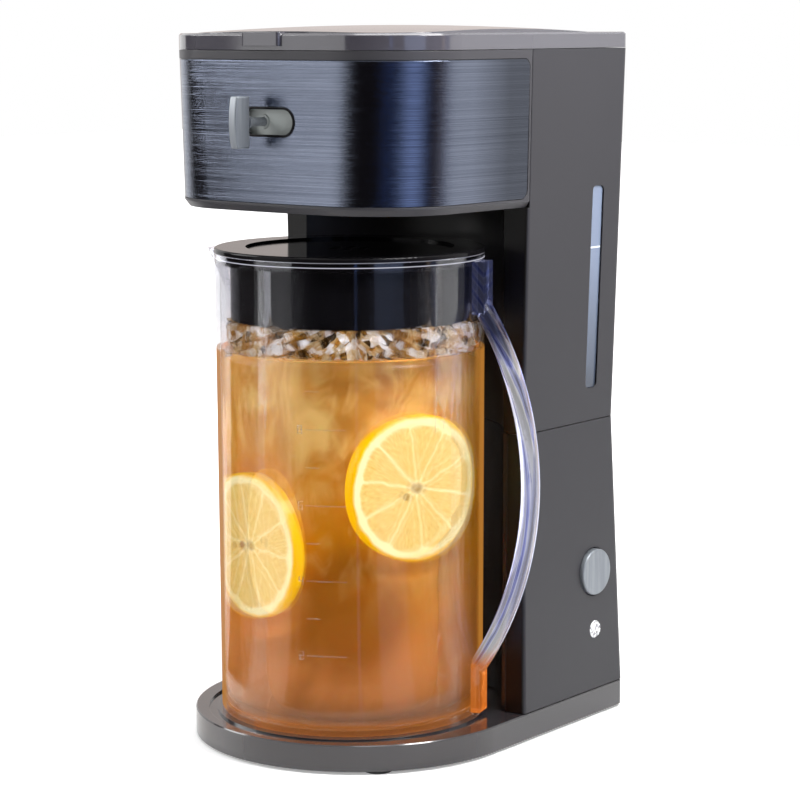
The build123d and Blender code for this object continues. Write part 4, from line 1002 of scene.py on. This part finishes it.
    def lemon(self, wheel: Wheel) -> bpy.types.Object:
        """A wheel cut from a lemon: rings from the middle of its face, over the rind and back.

        Args:
            wheel: Its name and place.

        Returns:
            The wheel, standing against the pitcher's wall.
        """
        share = np.concatenate([np.linspace(0.0, 0.97, 14), [0.99, 1.0, 1.0, 0.99],
                                np.linspace(0.97, 0.0, 4)])
        depth = np.concatenate([np.zeros(14), [0.04, 0.16, 0.84, 0.96], np.ones(4)]) * self.lemon_thick
        steps = 96
        turn = np.linspace(0.0, 2 * math.pi, steps, endpoint=False)[None, :]
        wave = 1.0 + 0.012 * np.sin(3 * turn + wheel.turn) + 0.008 * np.sin(5 * turn + 2.0)
        radius = self.lemon_radius * share[:, None] * wave
        flat = spread(radius * np.cos(turn), radius * np.sin(turn), -depth[:, None])
        normal, side = directions(wheel.direction)
        up = np.array([0.0, 0.0, 1.0])
        centre = np.array([*PITCHER_AXIS, wheel.level]) + normal * self.lemon_plane()
        grid = flat.reshape(-1, 3)
        points = centre + grid[:, :1] * side + grid[:, 1:2] * up + grid[:, 2:] * normal
        made = SurfaceShop.build(wheel.name, points, SurfaceShop.quads(len(share), steps, True))
        self._face_map(made, centre, side, up, wheel.turn)
        return made

    def _face_map(self, piece: bpy.types.Object, centre: np.ndarray, side: np.ndarray, up: np.ndarray,
                  degrees: float) -> None:
        """Store each point's place in the wheel's plane, in wheel radii, as the UV map face.

        Args:
            piece: The wheel.
            centre: Middle of its face.
            side: Level direction in the face.
            up: Upward direction in the face.
            degrees: Turn of the picture on the face.
        """
        mesh = piece.data
        away = points_of(piece) - centre
        across = away @ side / self.lemon_radius
        above = away @ up / self.lemon_radius
        turn = math.radians(degrees)
        spot = np.stack([across * math.cos(turn) - above * math.sin(turn),
                         across * math.sin(turn) + above * math.cos(turn)], -1)
        corners = np.zeros(len(mesh.loops), np.int32)
        mesh.loops.foreach_get("vertex_index", corners)
        layer = mesh.uv_layers.new(name="face")
        layer.data.foreach_set("uv", spot[corners].astype(np.float32).ravel())

    def build(self, effects: EffectLibrary) -> None:
        """Make the drink's pieces, dress them and let them ride with the pitcher.

        Args:
            effects: Shared node groups.
        """
        # the clear tea shines with a painted amber glow at its silhouette
        clear = ClearPlastic("clear tea", linear(255, 240, 214), ior=1.33, roughness=0.01, ripple=0.03,
                             shadow_tint=(0.98, 0.94, 0.85, 1.0), edge=0.0002,
                             painted_edge_glow=linear(120, 68, 6)).make(effects)
        cloudy = CloudyTea("cloudy tea").make(effects)
        frozen = CrackedIce("ice").make(effects)
        citrus = CitrusFace("lemon wheel").make(effects)
        made = [(self.tea(), clear), (self.cloud(), cloudy), (self.ice(), frozen)]
        made += [(self.lemon(wheel), citrus) for wheel in self.wheels]
        for piece, material in made:
            paint(piece, material)
            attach(piece, Part.PITCHER.value)
            LOG.info("drink: %s", piece.name)


@dataclass
class ScaleMarks:
    """Raised ticks and plain numbers moulded on the pitcher's outer wall."""

    foot_radius: float
    top_radius: float
    foot: float
    top: float
    proud: float = 0.00022
    stroke: float = 0.0005
    digit_high: float = 0.0046
    digit_wide: float = 0.0026
    tick: float = 0.022
    half_step: float = 0.02065
    angle: float = -68.0
    levels: tuple[tuple[str, float], ...] = (("2", 0.0612), ("4", 0.1025), ("6", 0.1438), ("8", 0.1850))
    strokes: tuple[tuple[str, str], ...] = (("2", "abged"), ("4", "fgbc"), ("6", "afgedc"), ("8", "abcdefg"))

    def _radius(self, level: np.ndarray) -> np.ndarray:
        """Outer radius of the wall at a level, on the straight line between foot and top."""
        share = (level - self.foot) / (self.top - self.foot)
        return self.foot_radius + (self.top_radius - self.foot_radius) * share

    def _bar(self, start: float, end: float, low: float, high: float) -> tuple[np.ndarray, list]:
        """A raised bar that follows the wall.

        Args:
            start: Distance round the wall where it starts, in metres.
            end: Distance round the wall where it ends.
            low: Level of its lower edge.
            high: Level of its upper edge.

        Returns:
            Its points and its faces.
        """
        steps = max(2, int(abs(end - start) / 0.002) + 2)
        turn = math.radians(self.angle) + np.linspace(start, end, steps)[:, None] / self.foot_radius
        level = np.array([low, low, high, high])[None, :]
        lift = np.array([-0.0003, self.proud, self.proud, -0.0003])[None, :]
        radius = self._radius(level) + lift
        last = (steps - 1) * 4
        ends = [[0, 1, 2, 3], [last + 3, last + 2, last + 1, last]]
        return around(radius, turn, level), SurfaceShop.quads(steps, 4, True) + ends

    def _digit(self, name: str, start: float, low: float) -> list[tuple[np.ndarray, list]]:
        """A number made of up to seven bars, named a to g clockwise from the top with g in the middle.

        Args:
            name: The number.
            start: Distance round the wall of its left edge, in metres.
            low: Level of its foot.

        Returns:
            Points and faces of each bar.
        """
        wide, high, line = self.digit_wide, self.digit_high, self.stroke
        middle = low + high / 2
        bars = {
            "a": (start, start + wide, low + high - line, low + high),
            "b": (start + wide - line, start + wide, middle, low + high),
            "c": (start + wide - line, start + wide, low, middle),
            "d": (start, start + wide, low, low + line),
            "e": (start, start + line, low, middle),
            "f": (start, start + line, middle, low + high),
            "g": (start, start + wide, middle - line / 2, middle + line / 2),
        }
        return [self._bar(*bars[letter]) for letter in dict(self.strokes)[name]]

    def build(self, material: bpy.types.Material) -> None:
        """Make the marks as one piece that rides with the pitcher.

        Args:
            material: Finish of the marks.
        """
        shapes: list[tuple[np.ndarray, list]] = []
        for name, level in self.levels:
            shapes.append(self._bar(0.0, self.tick, level - self.stroke / 2, level + self.stroke / 2))
            shapes += self._digit(name, -self.digit_wide - 0.002, level - self.digit_high / 2)
            half = level + self.half_step
            shapes.append(self._bar(0.0, self.tick / 3, half - self.stroke / 2, half + self.stroke / 2))
        points: list[np.ndarray] = []
        faces: list = []
        total = 0
        for shape, corners in shapes:
            faces += [[corner + total for corner in face] for face in corners]
            points.append(shape)
            total += len(shape)
        made = SurfaceShop.build("scale_marks", np.concatenate(points), faces, smooth=False)
        paint(made, material)
        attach(made, Part.PITCHER.value)
        LOG.info("pitcher: %s", made.name)


@dataclass(frozen=True)
class Card:
    """An upright card that reflections see, given by its directions from +X in degrees."""

    name: str
    start: float
    end: float
    colour: Colour
    near: float = 0.185
    reach: float = 2.6
    lift: float = 0.0004
    high: float = 1.7


@dataclass(frozen=True)
class Lamp:
    """A soft square light: its place and side in metres, and its power in watts."""

    name: str
    place: Place
    size: float
    power: float


@dataclass
class Studio:
    """Camera, pale floor, soft lights and the dark cards that shape reflections."""

    cards: tuple[Card, ...] = (
        Card("left_card", 180.0, 223.8, linear(36, 31, 30), reach=2.4),
        Card("front_left_card", -99.0, -45.6, linear(36, 32, 32)),
        Card("blue_line", -45.6, -43.2, linear(120, 150, 220)),
        Card("front_right_card", -43.2, -29.0, linear(36, 36, 40)),
        Card("blue_card", -29.0, -4.0, linear(176, 194, 236)),
        Card("right_card", -4.0, 18.5, linear(46, 46, 56)),
        Card("tan_line", 18.5, 21.5, linear(206, 180, 156)),
        Card("side_card", 21.5, 29.0, linear(110, 120, 150)),
        Card("rear_card", 118.0, 150.0, linear(214, 204, 200)),
    )
    lamps: tuple[Lamp, ...] = (
        Lamp("left light", (-1.9, -1.0, 1.1), 1.4, 36.0),
        Lamp("right light", (0.85, 0.1, 1.1), 0.6, 2.6),
        Lamp("upper right light", (0.42, 0.05, 0.62), 0.2, 3.4),
        Lamp("top light", (0.1, 0.3, 2.1), 1.6, 22.0),
    )
    lamps_aim: Place = (0.0, 0.0, 0.2)
    camera_place: Place = (0.9226, -1.0654, 0.3992)
    view_azimuth: float = 39.94
    view_down: float = 8.462
    view_roll: float = -0.177
    focal: float = 2533.5
    frame_width: int = 800
    film: float = 36.0

    def camera(self) -> None:
        """Camera at the photograph's place and angle."""
        data = bpy.data.cameras.new("camera")
        data.sensor_width = self.film
        data.lens = self.focal / self.frame_width * self.film
        data.clip_end = 20.0
        made = new_object("camera", data)
        made.rotation_mode = "XYZ"
        made.location = self.camera_place
        turn = (Matrix.Rotation(math.radians(self.view_azimuth), 4, "Z")
                @ Matrix.Rotation(math.radians(90.0 - self.view_down), 4, "X")
                @ Matrix.Rotation(math.radians(self.view_roll), 4, "Z"))
        made.rotation_euler = turn.to_euler()
        bpy.context.scene.camera = made

    def world(self) -> None:
        """White for what the camera, gloss and glass see, and soft grey light for the rest."""
        world = bpy.data.worlds.new("studio")
        bpy.context.scene.world = world
        world.use_nodes = True
        world.node_tree.nodes.clear()
        bench = NodeBench(world.node_tree)
        seen = bench.rays(Ray.CAMERA, Ray.GLOSSY, Ray.TRANSMISSION)
        strength = bench.span(seen, 0.0, 1.0, 0.42, 1.0)
        back = bench.add("ShaderNodeBackground", {"Color": WHITE, "Strength": strength})
        bench.join(back.outputs[0], bench.add("ShaderNodeOutputWorld").inputs[0])

    def floor(self) -> None:
        """Pale floor that keeps the object's shadow and stays white to the eye."""
        reach = 6.0
        steps = 25
        across = np.linspace(-reach, reach, steps)
        x, y = np.meshgrid(across, across)
        points = np.stack([x, y, np.full_like(x, -0.0002)], -1).reshape(-1, 3)
        made = SurfaceShop.build("floor", points, SurfaceShop.quads(steps, steps, False))
        material, bench, out = new_material("pale floor")
        where = bench.place()
        colour = bench.mix(bench.noise(where, 3.0, 2.0), (0.86, 0.86, 0.86, 1.0), (0.9, 0.9, 0.9, 1.0))
        shine = bench.times(bench.rays(Ray.GLOSSY), 0.3)
        seen = bench.math("MAXIMUM", bench.rays(Ray.CAMERA, Ray.TRANSMISSION), shine)
        far = bench.span(bench.vector("LENGTH", where), 0.25, 1.2, 0.34, 1.0)
        bench.join(bench.principled({"Base Color": colour, "Roughness": 0.6, "Emission Color": WHITE,
                                     "Emission Strength": bench.times(seen, far)}), out)
        paint(made, material)

    def lamp(self, lamp: Lamp) -> None:
        """Hang a light and turn it to the object.

        Args:
            lamp: Its place, size and power.
        """
        data = bpy.data.lights.new(lamp.name, "AREA")
        data.shape = "SQUARE"
        data.size = lamp.size
        data.energy = lamp.power
        made = new_object(lamp.name, data)
        made.location = lamp.place
        aim = Vector(self.lamps_aim) - Vector(lamp.place)
        made.rotation_euler = aim.to_track_quat("-Z", "Y").to_euler()

    def card(self, card: Card) -> None:
        """A curved card that only reflections see: it runs out over the floor, then up a cylinder's wall.

        Args:
            card: Its directions, sizes and colour.
        """
        steps = 25
        turn = np.radians(np.linspace(card.start, card.end, steps))[None, :]
        reach = np.array([card.near, card.reach, card.reach])[:, None]
        level = np.array([card.lift, card.lift, card.high])[:, None]
        points = spread(reach * np.cos(turn), reach * np.sin(turn), level).reshape(-1, 3)
        made = SurfaceShop.build(card.name, points, SurfaceShop.quads(3, steps, False))
        material, bench, out = new_material(card.name)
        bench.join(bench.emission(card.colour), out)
        paint(made, material)
        for ray in ("camera", "diffuse", "shadow", "volume_scatter"):
            setattr(made, "visible_" + ray, False)

    def build(self) -> None:
        """Set up the whole studio."""
        self.camera()
        self.world()
        self.floor()
        for lamp in self.lamps:
            self.lamp(lamp)
        for card in self.cards:
            self.card(card)
        bpy.context.scene.view_settings.view_transform = "Standard"
        LOG.info("studio: camera, floor, lights and cards")


class Finishes:
    """Every finish of the machine, made once and looked up by node."""

    def __init__(self, effects: EffectLibrary) -> None:
        """Make the materials and say which node wears which.

        Args:
            effects: Shared node groups.
        """
        body = MouldedPlastic("charcoal body plastic", linear(63, 62, 66), roughness=0.34, grain=0.14,
                              specular=0.3)
        # the tower's faces turned to -Y take a painted shade colour
        tower = MouldedPlastic("charcoal tower plastic", linear(53, 52, 56), roughness=0.34, grain=0.14,
                               specular=0.3, painted_front_shade=linear(13, 10, 10))
        base = MouldedPlastic("polished base plastic", linear(50, 47, 50), roughness=0.1, grain=0.03,
                              coat=0.6)
        lid = MouldedPlastic("glossy lid plastic", linear(74, 72, 80), roughness=0.12, grain=0.02, coat=1.0,
                             specular=1.0)
        black = MouldedPlastic("glossy black plastic", linear(18, 17, 19), roughness=0.1, grain=0.01,
                               marks=0.1, specular=0.12)
        inner = MouldedPlastic("inner black plastic", linear(40, 39, 41), roughness=0.3)
        recess = MouldedPlastic("recess black plastic", linear(25, 24, 26), roughness=0.22, grain=0.05)
        # the panel darkens towards its back end with painted shade
        panel = BrushedMetal("dark brushed panel", linear(106, 113, 130), linear(140, 147, 165),
                             roughness=0.12, stretch=(3.0, 3.0, 3000.0), depth=0.4, edge=0.0009,
                             fade=(-0.012, 0.020))
        silver = BrushedMetal("silver grey button", linear(132, 137, 144), linear(150, 155, 161),
                              roughness=0.38, stretch=(420.0, 420.0, 30.0), metallic=0.45)
        plate = MouldedPlastic("pale shutter plastic", linear(176, 182, 180), roughness=0.3, grain=0.05)
        # the pitcher carries painted glows at its foot and silhouette and painted highlight lines at its rim
        clear = ClearPlastic("clear pitcher plastic", linear(244, 245, 252), straight=0.7, rim=0.271,
                             foot=0.025, lines=((0.2712, linear(178, 178, 188)),
                                                (0.2738, linear(132, 132, 142))),
                             fill_top=DRINK_LEVEL)
        # the handle's bright and dark lines are painted highlights and painted shade
        handle = StreakedClear("clear handle plastic")
        # the lens's facets carry painted glints
        lens = FacetedLens("faceted lens")
        lamp = ClearPlastic("amber lamp", linear(255, 170, 90), ripple=0.2, ripple_scale=600.0)
        gauge = FrostedStrip("water gauge", 0.195, 0.2735, linear(52, 60, 74), linear(122, 134, 158))
        rubber = MouldedPlastic("black rubber", linear(36, 36, 37), roughness=0.75, grain=0.3)
        silicone = MouldedPlastic("milky silicone", linear(214, 213, 208), roughness=0.45, grain=0.08)
        steel = BrushedMetal("plain steel", linear(170, 170, 172), linear(206, 206, 208), roughness=0.3,
                             stretch=(60.0, 60.0, 600.0))
        cast = BrushedMetal("cast aluminium", linear(168, 168, 170), linear(196, 196, 196), roughness=0.5,
                            stretch=(300.0, 300.0, 300.0), depth=0.5)
        mesh = BrushedMetal("fine steel mesh", linear(120, 120, 122), linear(210, 210, 212), roughness=0.35,
                            stretch=(1400.0, 1400.0, 1400.0), depth=0.6)
        tank = MouldedPlastic("frosted tank plastic", linear(178, 186, 192), roughness=0.35, grain=0.1)
        white = MouldedPlastic("white plastic", linear(226, 226, 222), roughness=0.4)
        self.wearers: dict[Finish, tuple[str, ...]] = {
            tower: ("lower_housing", "upper_housing"),
            body: ("head_shell",),
            base: ("base_tray",),
            lid: ("top_lid",),
            black: ("pitcher_lid", "slot_bezel"),
            inner: ("basket_holder", "brew_basket", "drip_nozzle", "shower_arm", "switch_body", "base_plate"),
            recess: ("recess_panel",),
            panel: ("front_panel",),
            silver: ("selector_knob", "power_button"),
            plate: ("selector_ring",),
            clear: ("pitcher_body",),
            handle: ("pitcher_handle",),
            lens: ("pilot_lens",),
            lamp: ("pilot_lamp",),
            gauge: ("water_window",),
            rubber: ("rubber_feet", "cord_gland"),
            silicone: ("tank_seal", "cold_hose", "hot_hose"),
            steel: ("base_screws", "tower_screws", "head_screws", "hose_clamps", "heater_element",
                    "heater_brackets", "button_spring", "hinge_pins", "thermostat"),
            cast: ("heater_body",),
            mesh: ("filter_mesh",),
            tank: ("water_tank",),
            white: ("terminal_block", "inner_leads", "thermal_fuse", "check_valve"),
        }
        self.effects = effects

    def dress(self, nodes: dict[str, bpy.types.Object]) -> None:
        """Put each node's finish on it.

        Args:
            nodes: Node name to its object.
        """
        left = set(nodes)
        for finish, wearers in self.wearers.items():
            material = finish.make(self.effects)
            for name in wearers:
                paint(nodes[name], material)
                left.discard(name)
            LOG.info("finish: %s on %d nodes", finish.name, len(wearers))
        if left:
            raise ValueError("no finish for " + ", ".join(sorted(left)))


def main() -> None:
    """Load the frame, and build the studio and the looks."""
    logging.basicConfig(level=logging.INFO)
    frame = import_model()
    Studio().build()
    effects = EffectLibrary()
    Finishes(effects).dress(frame["nodes"])
    Drink().build(effects)
    frosted = ClearPlastic("frosted scale marks", linear(255, 250, 240), roughness=0.22)
    marks = ScaleMarks(PITCHER_FOOT_RADIUS, PITCHER_TOP_RADIUS, PITCHER_SEAT, PITCHER_RIM)
    marks.build(frosted.make(effects))


if __name__ == "__main__":
    main()
